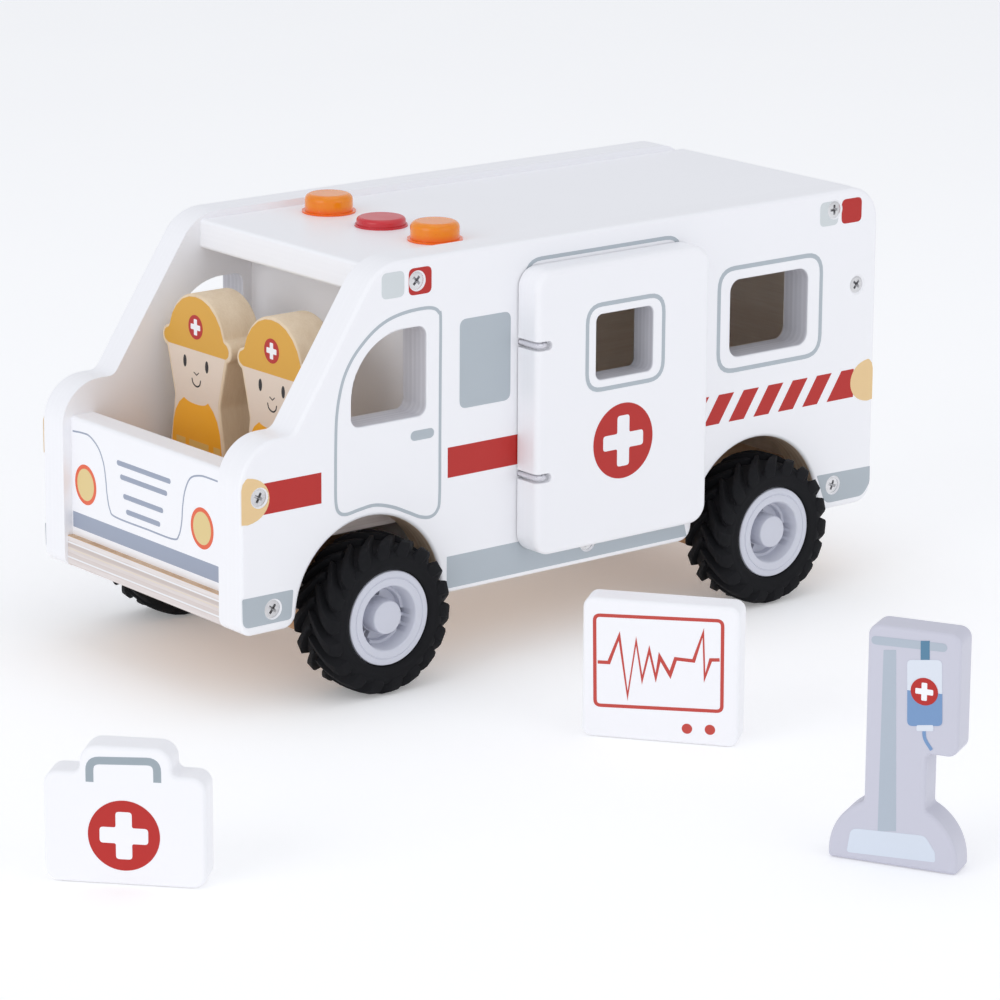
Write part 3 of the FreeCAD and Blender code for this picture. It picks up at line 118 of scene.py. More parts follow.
# The camera, and the point that the lights look at.
CAMERA_PLACE = (1326.12, -886.64, 509.03)
CAMERA_ANGLES = (51.58, 13.62, 0.25)
CAMERA_SHIFT = (0.0303, -0.1256)
SENSOR_WIDTH = 36.0
LIGHT_TARGET = (60, 120, 70)

# A print stands this far over its face, for each layer, and reaches this far into it.
LIFT = 0.04
SUNK = -0.05

# The vehicle's own corner: middle of its width, front edge of its panels, the floor.
PANEL_LOW, PANEL_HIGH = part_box("left_side_panel")
HOME = Vector((PANEL_HIGH.x - PANEL_HALF * MM, PANEL_LOW.y, 0.0))


def at(x, y, z):
    """Point in the frame from the vehicle's own millimetres."""
    return HOME + Vector((x, y, z)) * MM


def ink(red, green, blue):
    """Linear colour from the usual 0 to 255 values."""
    def linear(value):
        share = value / 255
        return share / 12.92 if share <= 0.04045 else ((share + 0.055) / 1.055) ** 2.4
    return (linear(red), linear(green), linear(blue), 1.0)


# Settings

def colour_of(name, description, *values):
    return FloatVectorProperty(name=name, description=description, subtype="COLOR", size=4,
                               min=0, max=1, default=ink(*values))


def length_of(name, description, millimetres, least):
    return FloatProperty(name=name, description=description, default=millimetres * MM,
                         min=least, unit="LENGTH")


def power_of(name, description, watts):
    return FloatProperty(name=name, description=description, default=watts, min=0, unit="POWER")


class PaintColours(bpy.types.PropertyGroup):
    """Colours of the painted and printed surfaces."""
    white: colour_of("White paint", "Paint on the body boards", 248, 248, 251)
    red: colour_of("Red print", "Stripes, crosses and markers", 186, 27, 19)
    grey: colour_of("Grey print", "Outlines and lower band", 180, 189, 196)
    slate: colour_of("Dark grey print", "Bumper and grille", 156, 165, 184)
    pale: colour_of("Pale grey print", "Side markers", 214, 220, 222)
    yellow: colour_of("Yellow print", "Side lamps", 236, 203, 150)
    amber: colour_of("Amber print", "Headlight rings", 232, 100, 62)
    stand: colour_of("Stand paint", "Lilac grey of the drip stand", 203, 203, 216)


class FigureColours(bpy.types.PropertyGroup):
    """Colours printed on the two figures and on the drip bag."""
    hat: colour_of("Hat", "Helmet of both figures", 222, 166, 58)
    overall: colour_of("Overall", "Dungarees of both figures", 245, 172, 30)
    belt: colour_of("Belt", "Pale blocks of the belt", 228, 186, 104)
    face: colour_of("Face", "Pale front of both figures", 232, 214, 197)
    black: colour_of("Black", "Eyes, nose and smile", 32, 30, 32)
    bag: colour_of("Bag", "Liquid in the drip bag", 118, 152, 196)


class WheelSizes(bpy.types.PropertyGroup):
    """Sizes of the four tyres."""
    lugs: IntProperty(name="Lugs", description="Lugs on each shoulder", default=18, min=8, max=40)
    radius: length_of("Radius", "Over the lugs", 31.3, 0.01)
    lug_high: length_of("Lug height", "Lug over the carcass", 2.7, 0.0005)
    lug_wide: length_of("Lug width", "Along the tread", 6.4, 0.001)
    slant: FloatProperty(name="Slant", description="Turn of a lug from middle to shoulder",
                         default=math.radians(25), subtype="ANGLE")


class StudioSettings(bpy.types.PropertyGroup):
    """Camera and lights."""
    lens: FloatProperty(name="Lens", description="Focal length in millimetres", default=151.4,
                        min=20)
    sky: FloatProperty(name="Sky", description="Strength of the plain surround", default=0.72,
                       min=0)
    key: power_of("Key light", "Power of the large side light", 1.6)
    front: power_of("Front light", "Power of the large front light", 13.0)
    top: power_of("Top light", "Power of the large light overhead", 1.9)
    glow: FloatProperty(name="Table glow", description="Light from the translucent table top",
                        default=0.18, min=0)


# Node trees

SOCKETS = {"Vector": "NodeSocketVector", "Step": "NodeSocketVector", "Color": "NodeSocketColor",
           "Material": "NodeSocketMaterial", "Piece": "NodeSocketObject",
           "Geometry": "NodeSocketGeometry", tuple: "NodeSocketColor", float: "NodeSocketFloat",
           int: "NodeSocketInt"}


def new_group(kind, name, ins, outs):
    """Node group whose sockets take their kinds from their labels or default values."""
    tree = bpy.data.node_groups.new(name, kind)
    for label, value in ins.items():
        socket = tree.interface.new_socket(label, in_out="INPUT",
                                           socket_type=SOCKETS.get(label) or SOCKETS[type(value)])
        if value is not None:
            socket.default_value = value
    for label in outs:
        tree.interface.new_socket(label, in_out="OUTPUT",
                                  socket_type=SOCKETS.get(label, SOCKETS[float]))
    ends = tree.nodes.new("NodeGroupInput"), tree.nodes.new("NodeGroupOutput")
    return tree, ends[0].outputs, ends[1].inputs


def finish_group(tree, outs, **results):
    for label, value in results.items():
        tree.links.new(value, outs[label])
    return tree


def add(tree, kind, links=None, **props):
    """A node with its properties set and its inputs linked or filled."""
    node = tree.nodes.new(kind)
    for name, value in props.items():
        setattr(node, name, value)
    for name, value in (links or {}).items():
        socket = node.inputs[name]
        if isinstance(value, bpy.types.NodeSocket):
            tree.links.new(value, socket)
        else:
            socket.default_value = value
    return node


def maths(tree, operation, first, second=0.0):
    return add(tree, "ShaderNodeMath", {0: first, 1: second}, operation=operation).outputs[0]


def plus(tree, first, second):
    return maths(tree, "ADD", first, second)


def minus(tree, first, second):
    return maths(tree, "SUBTRACT", first, second)


def times(tree, first, second):
    return maths(tree, "MULTIPLY", first, second)


def apart(tree, first, second):
    return maths(tree, "ABSOLUTE", minus(tree, first, second))


def split(tree, vector):
    return add(tree, "ShaderNodeSeparateXYZ", {0: vector}).outputs


def mix(tree, share, first, second, mode="MIX"):
    node = add(tree, "ShaderNodeMix", {0: share, 6: first, 7: second}, data_type="RGBA",
               blend_type=mode)
    return node.outputs[2]


def tinted_by(tree, colour, tint):
    return mix(tree, 1.0, colour, tint, "MULTIPLY")


def ramp(tree, value, low, high):
    """Value stretched so that low becomes 0 and high becomes 1."""
    return add(tree, "ShaderNodeMapRange", {0: value, 1: low, 2: high}).outputs[0]


def in_range(tree, value, low, high):
    return times(tree, maths(tree, "GREATER_THAN", value, low),
                 maths(tree, "LESS_THAN", value, high))


def turned(tree, where, angles):
    return add(tree, "ShaderNodeMapping", {"Vector": where, "Rotation": angles}).outputs[0]


def noise(tree, vector, scale, detail=3.0, rough=0.55, stretch=(1, 1, 1)):
    mapped = add(tree, "ShaderNodeMapping", {"Vector": vector, "Scale": stretch}).outputs[0]
    return add(tree, "ShaderNodeTexNoise", {"Vector": mapped, "Scale": scale, "Detail": detail,
                                            "Roughness": rough}).outputs[0]


def make_grain_group():
    """Wood grain that runs along local X of the vector."""
    tree, ins, outs = new_group("ShaderNodeTree", "wood_grain",
                                {"Vector": None, "Light": (0.6, 0.45, 0.3, 1),
                                 "Dark": (0.4, 0.28, 0.17, 1), "Contrast": 1.0},
                                ("Color", "Height", "Roughness"))
    bands = noise(tree, ins["Vector"], 160, 4, 0.6, (0.09, 1, 1))
    fibres = noise(tree, ins["Vector"], 1500, 3, 0.6, (0.03, 1, 1))
    cloud = noise(tree, ins["Vector"], 22, 2, 0.5, (0.5, 1, 1))
    lines = plus(tree, times(tree, ramp(tree, bands, 0.38, 0.66), 0.55),
                 times(tree, ramp(tree, fibres, 0.35, 0.7), 0.45))
    tint = mix(tree, times(tree, lines, ins["Contrast"]), ins["Light"], ins["Dark"])
    warm = mix(tree, times(tree, ramp(tree, cloud, 0.4, 0.65), 0.3), tint, ins["Dark"])
    return finish_group(tree, outs, Color=warm, Height=lines,
                        Roughness=plus(tree, times(tree, lines, 0.12), 0.55))


def make_ply_group():
    """Layers of a plywood edge: Across runs from 0 to 1 through it, and Vector has it along Z."""
    tree, ins, outs = new_group("ShaderNodeTree", "plywood_edge",
                                {"Vector": None, "Across": 0.0, "Layers": 9.0,
                                 "Light": (0.8, 0.7, 0.6, 1), "Dark": (0.5, 0.35, 0.25, 1)},
                                ("Color", "Height"))
    sway = noise(tree, ins["Vector"], 45, 2, 0.5, (1, 1, 0.2))
    moved = plus(tree, times(tree, ins["Across"], ins["Layers"]),
                 times(tree, minus(tree, sway, 0.5), 0.3))
    layer = maths(tree, "FLOOR", moved)
    crossed = maths(tree, "ABSOLUTE", maths(tree, "MODULO", layer, 2.0))
    tone = add(tree, "ShaderNodeTexWhiteNoise", {"W": layer},
               noise_dimensions="1D").outputs["Value"]
    glue = ramp(tree, apart(tree, maths(tree, "FRACT", moved), 0.5), 0.40, 0.5)
    streaks = ramp(tree, noise(tree, ins["Vector"], 1100, 3, 0.65, (0.06, 0.06, 1)), 0.35, 0.7)
    share = plus(tree, times(tree, crossed, 0.5), times(tree, tone, 0.3))
    colour = mix(tree, share, ins["Light"], ins["Dark"])
    for mark, strength in ((glue, 0.5), (streaks, 0.35)):
        colour = mix(tree, times(tree, mark, strength), colour, ins["Dark"])
    height = plus(tree, times(tree, glue, -0.5), times(tree, streaks, -0.4))
    return finish_group(tree, outs, Color=colour, Height=height)


def make_paint_group():
    """Sprayed and rubbed-down paint over wood: faint clouding, grain lines and dust specks."""
    tree, ins, outs = new_group("ShaderNodeTree", "brushed_paint",
                                {"Vector": None, "Base": (0.9, 0.9, 0.9, 1), "Grain": 0.5,
                                 "Soil": 0.04}, ("Color", "Height", "Roughness"))
    cloud = noise(tree, ins["Vector"], 14, 3, 0.5)
    lines = noise(tree, ins["Vector"], 700, 3, 0.55, (1, 0.05, 0.05))
    peel = noise(tree, ins["Vector"], 1300, 2, 0.5)
    specks = ramp(tree, noise(tree, ins["Vector"], 900, 1, 0.4), 0.72, 0.8)
    soil = plus(tree, times(tree, ramp(tree, cloud, 0.42, 0.7), ins["Soil"]),
                times(tree, specks, 0.05))
    dull = tinted_by(tree, ins["Base"], (0.80, 0.79, 0.77, 1))
    return finish_group(tree, outs, Color=mix(tree, soil, ins["Base"], dull),
                        Height=plus(tree, times(tree, lines, ins["Grain"]),
                                    times(tree, peel, 0.35)),
                        Roughness=plus(tree, times(tree, cloud, 0.12), 0.36))


def make_plastic_group():
    """Moulded plastic or rubber: fine texture, dull patches and dust."""
    tree, ins, outs = new_group("ShaderNodeTree", "moulded_skin",
                                {"Vector": None, "Base": (0.5, 0.5, 0.5, 1),
                                 "Dust": (0.6, 0.58, 0.55, 1), "Dust Amount": 0.05,
                                 "Roughness": 0.4}, ("Color", "Height", "Roughness"))
    cloud = noise(tree, ins["Vector"], 60, 4, 0.6)
    fine = noise(tree, ins["Vector"], 2200, 2, 0.5)
    specks = ramp(tree, noise(tree, ins["Vector"], 1500, 1, 0.5), 0.68, 0.76)
    amount = times(tree, plus(tree, ramp(tree, cloud, 0.35, 0.75), specks), ins["Dust Amount"])
    return finish_group(tree, outs, Color=mix(tree, amount, ins["Base"], ins["Dust"]),
                        Height=fine,
                        Roughness=plus(tree, ins["Roughness"],
                                       times(tree, minus(tree, cloud, 0.5), 0.25)))


# Materials

GROUPS = {}
MATERIALS = {}
WOOD_LIGHT, WOOD_DARK = ink(222, 196, 168), ink(188, 148, 112)
PLY_LIGHT, PLY_DARK = ink(234, 227, 225), ink(206, 192, 186)
INNER_LIGHT, INNER_DARK = ink(254, 244, 232), ink(240, 224, 208)
ARCH_LIGHT, ARCH_DARK = ink(252, 230, 204), ink(226, 194, 162)
TO_Z = {"X": (0, QUARTER, 0), "Y": (QUARTER, 0, 0), "Z": (0, 0, 0)}
PANEL_LAYERS = 11.0


def grouped(tree, name, links):
    return add(tree, "ShaderNodeGroup", links, node_tree=GROUPS[name]).outputs


def start_material(name, **shader_values):
    """Material with a Principled shader and the Object coordinates."""
    material = bpy.data.materials.new(name)
    material.use_nodes = True
    tree = material.node_tree
    shader = next(n for n in tree.nodes if n.type == "BSDF_PRINCIPLED")
    for label, value in shader_values.items():
        shader.inputs[label.replace("_", " ")].default_value = value
    where = tree.nodes.new("ShaderNodeTexCoord").outputs["Object"]
    return material, tree, shader, where


def wire(tree, shader, colour=None, rough=None, height=None, strength=0.1, depth=0.1):
    """Links to the shader; depth is the relief's in millimetres."""
    normal = None
    if height is not None:
        normal = add(tree, "ShaderNodeBump", {"Height": height, "Strength": strength,
                                              "Distance": depth * MM}).outputs[0]
    for label, value in (("Base Color", colour), ("Roughness", rough), ("Normal", normal)):
        if value is not None:
            tree.links.new(value, shader.inputs[label])


def facing(tree, axis):
    """How far the real surface looks along an axis, from 0 to 1."""
    normal = add(tree, "ShaderNodeNewGeometry").outputs["True Normal"]
    return maths(tree, "ABSOLUTE", split(tree, normal)["XYZ".index(axis)])


def along(tree, where, axis, start, length):
    """0 to 1 through a board's thickness."""
    return maths(tree, "DIVIDE", minus(tree, split(tree, where)["XYZ".index(axis)], start), length)


def inside_frames(tree, where, frames):
    """1 within any of the frames, each given as low Y, high Y, low Z and high Z."""
    parts = split(tree, where)
    found = 0.0
    for low_y, high_y, low_z, high_z in frames:
        low, high = at(0, low_y, low_z), at(0, high_y, high_z)
        inside = times(tree, in_range(tree, parts[1], low.y, high.y),
                       in_range(tree, parts[2], low.z, high.z))
        found = maths(tree, "MAXIMUM", found, inside)
    return found


def painted_board(name, axis, start, thick, colour, grain_turn=(0, 0, 0), frames=(),
                  bare_end=None):
    """Paint over plywood: smooth outside, faint layers and painted shade in the openings, bare
    inside the body.
    """
    material, tree, shader, where = start_material(name, Coat_Weight=0.06, Coat_Roughness=0.3)
    paint = grouped(tree, "paint", {"Vector": turned(tree, where, grain_turn), "Base": colour})
    across = along(tree, where, axis, start, thick)
    layers = grouped(tree, "ply", {"Vector": turned(tree, where, TO_Z[axis]), "Across": across,
                                   "Layers": PANEL_LAYERS, "Light": WHITE,
                                   "Dark": (0.66, 0.66, 0.67, 1)})
    edge = ramp(tree, facing(tree, axis), 0.75, 0.45)
    opening = times(tree, edge, inside_frames(tree, where, frames)) if frames else 0.0
    shows = plus(tree, times(tree, edge, 0.05), times(tree, opening, 0.4))
    final = mix(tree, shows, paint["Color"], tinted_by(tree, paint["Color"], layers["Color"]))
    # Painted shade: the walls of the openings are darkened and cooled a little, as shade falls
    # inside them.
    final = mix(tree, opening, final, tinted_by(tree, final, (0.8, 0.8, 0.83, 1)))
    if bare_end is not None:
        grain = grouped(tree, "grain", {"Vector": turned(tree, where, grain_turn),
                                        "Light": INNER_LIGHT, "Dark": INNER_DARK})
        face = in_range(tree, across, bare_end - 0.02, bare_end + 0.02)
        bare = times(tree, inside_frames(tree, where, (BARE_INSIDE,)), face)
        final = mix(tree, bare, final, grain["Color"])
    relief = plus(tree, paint["Height"], times(tree, times(tree, layers["Height"], shows), 4.0))
    wire(tree, shader, final, paint["Roughness"], relief, 0.22, 0.12)
    return material, tree, shader, where, final


def side_panel_material(name, start, frames, bare_end):
    """Painted panel with bare brown wood inside the wheel arches and the rear compartment."""
    thick = PANEL_THICK * MM
    material, tree, shader, where, painted = painted_board(
        name, "X", start, thick, bpy.context.scene.ambulance_paint.white, (0, 0, QUARTER), frames,
        bare_end)
    parts = split(tree, where)
    masks = []
    for centre in ARCH_CENTRES:
        middle = at(0, centre, ARCH_HEIGHT)
        run, rise = minus(tree, parts[1], middle.y), minus(tree, parts[2], middle.z)
        far = maths(tree, "SQRT", plus(tree, times(tree, run, run), times(tree, rise, rise)))
        masks.append(ramp(tree, far, (ARCH_RADIUS + 0.9) * MM, (ARCH_RADIUS + 0.3) * MM))
    inside = times(tree, maths(tree, "MAXIMUM", *masks), ramp(tree, facing(tree, "X"), 0.5, 0.3))
    ply = grouped(tree, "ply", {"Vector": turned(tree, where, TO_Z["X"]),
                                "Across": along(tree, where, "X", start, thick),
                                "Layers": PANEL_LAYERS, "Light": ARCH_LIGHT, "Dark": ARCH_DARK})
    wire(tree, shader, mix(tree, inside, painted, ply["Color"]))
    return material


def bare_board(name, low, layers, grain_turn, bands=()):
    """Bare plywood: grain on its faces, layers on its edges, some marked by a colour."""
    material, tree, shader, where = start_material(name)
    grain = grouped(tree, "grain", {"Vector": turned(tree, where, grain_turn),
                                    "Light": WOOD_LIGHT, "Dark": WOOD_DARK})
    across = along(tree, where, "Z", at(0, 0, low).z, BOARD_THICK * MM)
    ply = grouped(tree, "ply", {"Vector": turned(tree, where, TO_Z["Z"]), "Across": across,
                                "Layers": layers, "Light": PLY_LIGHT, "Dark": PLY_DARK})
    layered = ply["Color"]
    for middle, half, colour in bands:
        band_share = ramp(tree, apart(tree, across, middle), half * 1.2, half * 0.7)
        layered = mix(tree, band_share, layered, colour)
    edge = ramp(tree, facing(tree, "Z"), 0.75, 0.55)
    relief = plus(tree, times(tree, grain["Height"], 0.5), times(tree, ply["Height"], edge))
    wire(tree, shader, mix(tree, edge, grain["Color"], layered), grain["Roughness"], relief, 0.35,
         0.15)
    return material


def skinned(name, group, links, strength, depth, turn=None, **values):
    """Material whose whole look comes from one group."""
    material, tree, shader, where = start_material(name, **values)
    skin = grouped(tree, group, {"Vector": turned(tree, where, turn) if turn else where, **links})
    wire(tree, shader, skin["Color"], skin["Roughness"], skin["Height"], strength, depth)
    return material


def solid_wood(name, light, dark, grain_turn, contrast):
    return skinned(name, "grain", {"Light": light, "Dark": dark, "Contrast": contrast}, 0.15, 0.1,
                   grain_turn)


def moulded(name, base, rough, dust=0.05, dust_colour=ink(190, 186, 180), bump=0.08, **values):
    return skinned(name, "plastic", {"Base": base, "Dust": dust_colour, "Dust Amount": dust,
                                     "Roughness": rough}, bump, 0.08, **values)


def printed(name, base):
    """Screen-printed ink: thin, slightly uneven and duller than the paint."""
    return skinned(name, "paint", {"Base": base, "Grain": 0.25, "Soil": 0.16}, 0.16, 0.1)


def metal(name, base, rough):
    return moulded(name, base, rough, 0.25, ink(120, 112, 100), 0.25, Metallic=1.0)


def elastic_material():
    """Covered elastic: fine slanted threads round a pale core."""
    material, tree, shader, where = start_material("covered_elastic", Roughness=0.7,
                                                   Sheen_Weight=0.3, Sheen_Roughness=0.5)
    threads = add(tree, "ShaderNodeTexWave", {"Vector": turned(tree, where, (0.6, 0.5, 0.7)),
                                              "Scale": 900.0, "Distortion": 1.5, "Detail": 1.0},
                  wave_type="BANDS").outputs[1]
    colour = mix(tree, threads, ink(212, 210, 219), ink(238, 238, 243))
    wire(tree, shader, colour, None, threads, 0.6, 0.1)
    return material


def lens_material():
    """Translucent orange plastic, glossy all over, with painted shade that makes it darker and
    redder towards its foot.
    """
    material, tree, shader, where = start_material(
        "orange_lens", IOR=1.45, Subsurface_Weight=0.25, Subsurface_Radius=(0.004, 0.0016, 0.0004),
        Subsurface_Scale=1.0, Specular_IOR_Level=0.35, Coat_Weight=0.35, Coat_Roughness=0.05)
    skin = grouped(tree, "plastic", {"Vector": where, "Base": ink(255, 146, 26),
                                     "Dust": ink(246, 116, 14), "Dust Amount": 0.5,
                                     "Roughness": 0.16})
    # Painted shade: a darker, redder orange towards the foot of the dome, leaving the top lighter
    # as if lit through.
    foot = ramp(tree, along(tree, where, "Z", at(0, 0, ROOF_TOP).z, 7.8 * MM), 0.45, 0.0)
    wire(tree, shader, mix(tree, foot, skin["Color"], ink(250, 98, 4)), skin["Roughness"],
         skin["Height"], 0.04, 0.05)
    return material


def floor_material(glow):
    """Pale table top that is lit from below a little."""
    material, tree, shader, where = start_material("pale_floor", Roughness=0.9,
                                                   Emission_Color=WHITE, Emission_Strength=glow)
    cloud = noise(tree, where, 6, 2, 0.5)
    wire(tree, shader, mix(tree, cloud, (0.94, 0.94, 0.945, 1), (0.955, 0.955, 0.955, 1)))
    return material


def make_materials():
    """All finishes, by their plain names."""
    GROUPS.update(grain=make_grain_group(), ply=make_ply_group(), paint=make_paint_group(),
                  plastic=make_plastic_group())
    c, f, m = bpy.context.scene.ambulance_paint, bpy.context.scene.ambulance_figures, MATERIALS
    for side, start, frames, bare_end in (
            ("left", PANEL_HALF - PANEL_THICK, (CAB_WINDOW, REAR_WINDOW, DOOR_HOLE), 0.0),
            ("right", -PANEL_HALF, (CAB_WINDOW, REAR_WINDOW), 1.0)):
        m[f"{side} panel"] = side_panel_material(f"white_{side}_panel", at(start, 0, 0).x, frames,
                                                 bare_end)
    for name, axis, start, frames, bare_end in (
            ("roof", "Z", at(0, 0, ROOF_LOW).z, (), 0.0),
            ("hood", "Y", at(0, HOOD_FACE, 0).y, (), None),
            ("bulkhead", "Y", at(0, BULKHEAD_FACE, 0).y, (), 1.0),
            ("tail", "Y", at(0, TAIL_FACE, 0).y, (), 0.0),
            ("door", "X", at(DOOR_FACE - BOARD_THICK, 0, 0).x, (DOOR_WINDOW,), None)):
        m[name] = painted_board(f"white_{name}", axis, start, BOARD_THICK * MM, c.white,
                                (0, 0, QUARTER if name == "roof" else 0), frames, bare_end)[0]
    for name, title, colour in (("case", "white_case", c.white),
                                ("monitor", "white_monitor", c.white),
                                ("stand", "lilac_stand", c.stand)):
        m[name] = painted_board(title, "X", 0, 1, colour)[0]
    glue = ink(240, 240, 242)
    m["base"] = bare_board("bare_base_ply", BASE_LOW, 5.0, (0, 0, QUARTER),
                           ((0.68, 0.05, ink(204, 192, 186)), (0.25, 0.03, glue),
                            (0.77, 0.03, glue), (0.56, 0.02, ink(228, 216, 198)),
                            (0.99, 0.018, ink(198, 160, 118))))
    m["cab floor"] = bare_board("bare_cab_floor", CAB_FLOOR_LOW, 7.0, (0, 0, 0))
    m["block"] = solid_wood("bare_axle_block", ink(206, 168, 130), ink(160, 118, 84),
                            (0, 0, 0), 0.9)
    m["figure"] = solid_wood("sanded_figure_wood", ink(234, 214, 186), ink(214, 188, 154),
                             (0, QUARTER, 0), 0.6)
    m["tyre"] = moulded("tyre_rubber", ink(12, 13, 17), 0.75, 0.05, ink(70, 66, 72), 0.5,
                        Specular_IOR_Level=0.22)
    m["hub"] = moulded("hub_plastic", ink(208, 210, 221), 0.36, 0.02, Specular_IOR_Level=0.5)
    m["steel"] = metal("zinc_steel", ink(226, 226, 228), 0.27)
    m["nickel"] = metal("bright_nickel", ink(206, 202, 196), 0.22)
    m["brass"] = metal("contact_brass", ink(206, 172, 96), 0.28)
    m["elastic"] = elastic_material()
    m["lens"] = lens_material()
    m["button"] = moulded("red_button_plastic", ink(206, 34, 48), 0.3, 0.02, Coat_Weight=0.25,
                          Coat_Roughness=0.15)
    m["unit"] = moulded("white_unit_plastic", ink(226, 226, 224), 0.45)
    m["circuit"] = moulded("green_circuit_board", ink(34, 104, 62), 0.4, 0.1)
    m["black"] = moulded("black_plastic", ink(28, 28, 30), 0.45)
    m["bulb"] = moulded("clear_lamp_plastic", ink(240, 236, 220), 0.2, 0.02,
                        Transmission_Weight=0.4)
    for name, value in (("red", c.red), ("grey", c.grey), ("slate", c.slate), ("pale", c.pale),
                        ("yellow", c.yellow), ("amber", c.amber), ("white", c.white),
                        ("hat", f.hat), ("overall", f.overall), ("belt", f.belt),
                        ("face", f.face), ("ink black", f.black), ("bag", f.bag),
                        ("clear", ink(222, 228, 238)), ("teal", ink(84, 130, 160)),
                        ("headlight", ink(228, 204, 142)), ("handle", ink(158, 170, 178)),
                        ("base plate", ink(216, 224, 236)), ("pole", ink(178, 188, 200)),
                        ("monitor red", ink(196, 66, 56))):
        m["print " + name] = printed("print_" + name.replace(" ", "_"), value)


# Shapes

def new_piece(name, bm, material, body, smooth=False, stands_for=(), outward=True):
    """Object from a bmesh, in metres in the frame, riding on a body."""
    if outward:
        bmesh.ops.recalc_face_normals(bm, faces=bm.faces)
    mesh = bpy.data.meshes.new(name)
    bm.to_mesh(mesh)
    bm.free()
    return add_piece(name, mesh, material, body, smooth, stands_for)


def add_piece(name, mesh, material, body, smooth=False, stands_for=()):
    mesh.name = name
    piece = bpy.data.objects.new(name, mesh)
    bpy.context.scene.collection.objects.link(piece)
    if material is not None:
        mesh.materials.clear()
        mesh.materials.append(material)
    if smooth:
        mesh.polygons.foreach_set("use_smooth", [True] * len(mesh.polygons))
    if body is not None:
        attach(piece, body)
    for node in stands_for:
        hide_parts(node)
    return piece


def solidified(piece):
    """Plain mesh of an object with its modifiers worked in; the object is removed."""
    bpy.context.view_layer.update()
    graph = bpy.context.evaluated_depsgraph_get()
    mesh = bpy.data.meshes.new_from_object(piece.evaluated_get(graph), depsgraph=graph)
    bpy.data.objects.remove(piece)
    return mesh


def carved(piece, cutter):
    """Plain mesh of a piece without the space of its cutter; the piece is removed."""
    trim = piece.modifiers.new("carved", "BOOLEAN")
    trim.operation, trim.solver, trim.object = "DIFFERENCE", "EXACT", cutter
    return solidified(piece)


def placed(mesh, spot):
    """The mesh with each vertex at its spot."""
    for vertex in mesh.vertices:
        vertex.co = spot(*vertex.co)
    return mesh


def as_it_is(x, y, z):
    return Vector((x, y, z))


def slab(bm, loops, low, high, spot):
    """Thin closed plate from flat outlines; the loops after the first are its holes."""
    flat = [point for loop in loops for point in loop]
    faces = tessellate_polygon([[Vector((u, v, 0)) for u, v in loop] for loop in loops])
    under = [bm.verts.new(spot(u, v, low)) for u, v in flat]
    over = [bm.verts.new(spot(u, v, high)) for u, v in flat]
    for a, b, c in faces:
        bm.faces.new((over[a], over[b], over[c]))
        bm.faces.new((under[c], under[b], under[a]))
    first = 0
    for loop in loops:
        count = len(loop)
        for k in range(count):
            a, b = first + k, first + (k + 1) % count
            bm.faces.new((under[a], under[b], over[b], over[a]))
        first += count


def circle(u, v, radius, count=48, tall=None):
    tall = radius if tall is None else tall
    return [(u + radius * math.cos(2 * math.pi * k / count),
             v + tall * math.sin(2 * math.pi * k / count)) for k in range(count)]


def bent(points, radius, steps=6):
    """Outline with its corners rounded; radius is one number or one for each corner."""
    count = len(points)
    radii = radius if isinstance(radius, (list, tuple)) else [radius] * count
    out = []
    for k, here in enumerate(points):
        here, before, after = Vector(here), Vector(points[k - 1]), Vector(points[(k + 1) % count])
        back, on = (before - here), (after - here)
        angle = back.angle(on)
        if radii[k] <= 0 or angle > math.radians(175):
            out.append(tuple(here))
            continue
        reach = min(radii[k] / math.tan(angle / 2), back.length * 0.49, on.length * 0.49)
        first, last = here + back.normalized() * reach, here + on.normalized() * reach
        for i in range(steps + 1):
            t = i / steps
            mid = first.lerp(here, t).lerp(here.lerp(last, t), t)
            out.append(tuple(mid))
    return out


def box_of(u0, u1, v0, v1, radius=0.0):
    corners = [(u0, v0), (u1, v0), (u1, v1), (u0, v1)]
    return bent(corners, radius) if radius else corners


def flowing(points, closed=False, steps=6):
    """Smooth line through the points."""
    count = len(points)
    out = []
    for k in range(count if closed else count - 1):
        a, b, c, d = (Vector(points[(k + i) % count if closed else min(max(k + i, 0), count - 1)])
                      for i in (-1, 0, 1, 2))
        for i in range(steps):
            t = i / steps
            out.append(tuple(0.5 * ((2 * b) + (c - a) * t + (2 * a - 5 * b + 4 * c - d) * t * t
                                    + (3 * b - a - 3 * c + d) * t ** 3)))
    if not closed:
        out.append(tuple(points[-1]))
    return out


def offset_line(points, away, closed):
    """The line moved sideways, with mitred corners."""
    count = len(points)
    out = []
    for k in range(count):
        here = Vector(points[k])
        if closed or 0 < k < count - 1:
            before, after = Vector(points[k - 1]), Vector(points[(k + 1) % count])
            one, two = (here - before).normalized(), (after - here).normalized()
            normal = Vector((-one.y - two.y, one.x + two.x))
            if normal.length < 1e-6:
                normal = Vector((-one.y, one.x))
            normal.normalize()
            lean = max(0.35, normal.dot(Vector((-one.y, one.x))))
            out.append(tuple(here + normal * away / lean))
        else:
            one = (Vector(points[1]) - here) if k == 0 else (here - Vector(points[k - 1]))
            one.normalize()
            out.append(tuple(here + Vector((-one.y, one.x)) * away))
    return out


def band(points, width):
    """Outline and hole of a closed line of some width."""
    return [offset_line(points, -width / 2, True), offset_line(points, width / 2, True)]


def ribbon(points, width, round_ends=False):
    """Outline of an open line of some width."""
    left = offset_line(points, width / 2, False)
    right = offset_line(points, -width / 2, False)
    if not round_ends:
        return [left + right[::-1]]

    def cap(centre, start):
        base = math.atan2(start[1] - centre[1], start[0] - centre[0])
        return [(centre[0] + width / 2 * math.cos(base - math.pi * i / 8),
                 centre[1] + width / 2 * math.sin(base - math.pi * i / 8))
                for i in range(1, 8)]
    return [left + cap(points[-1], left[-1]) + right[::-1] + cap(points[0], right[0])]


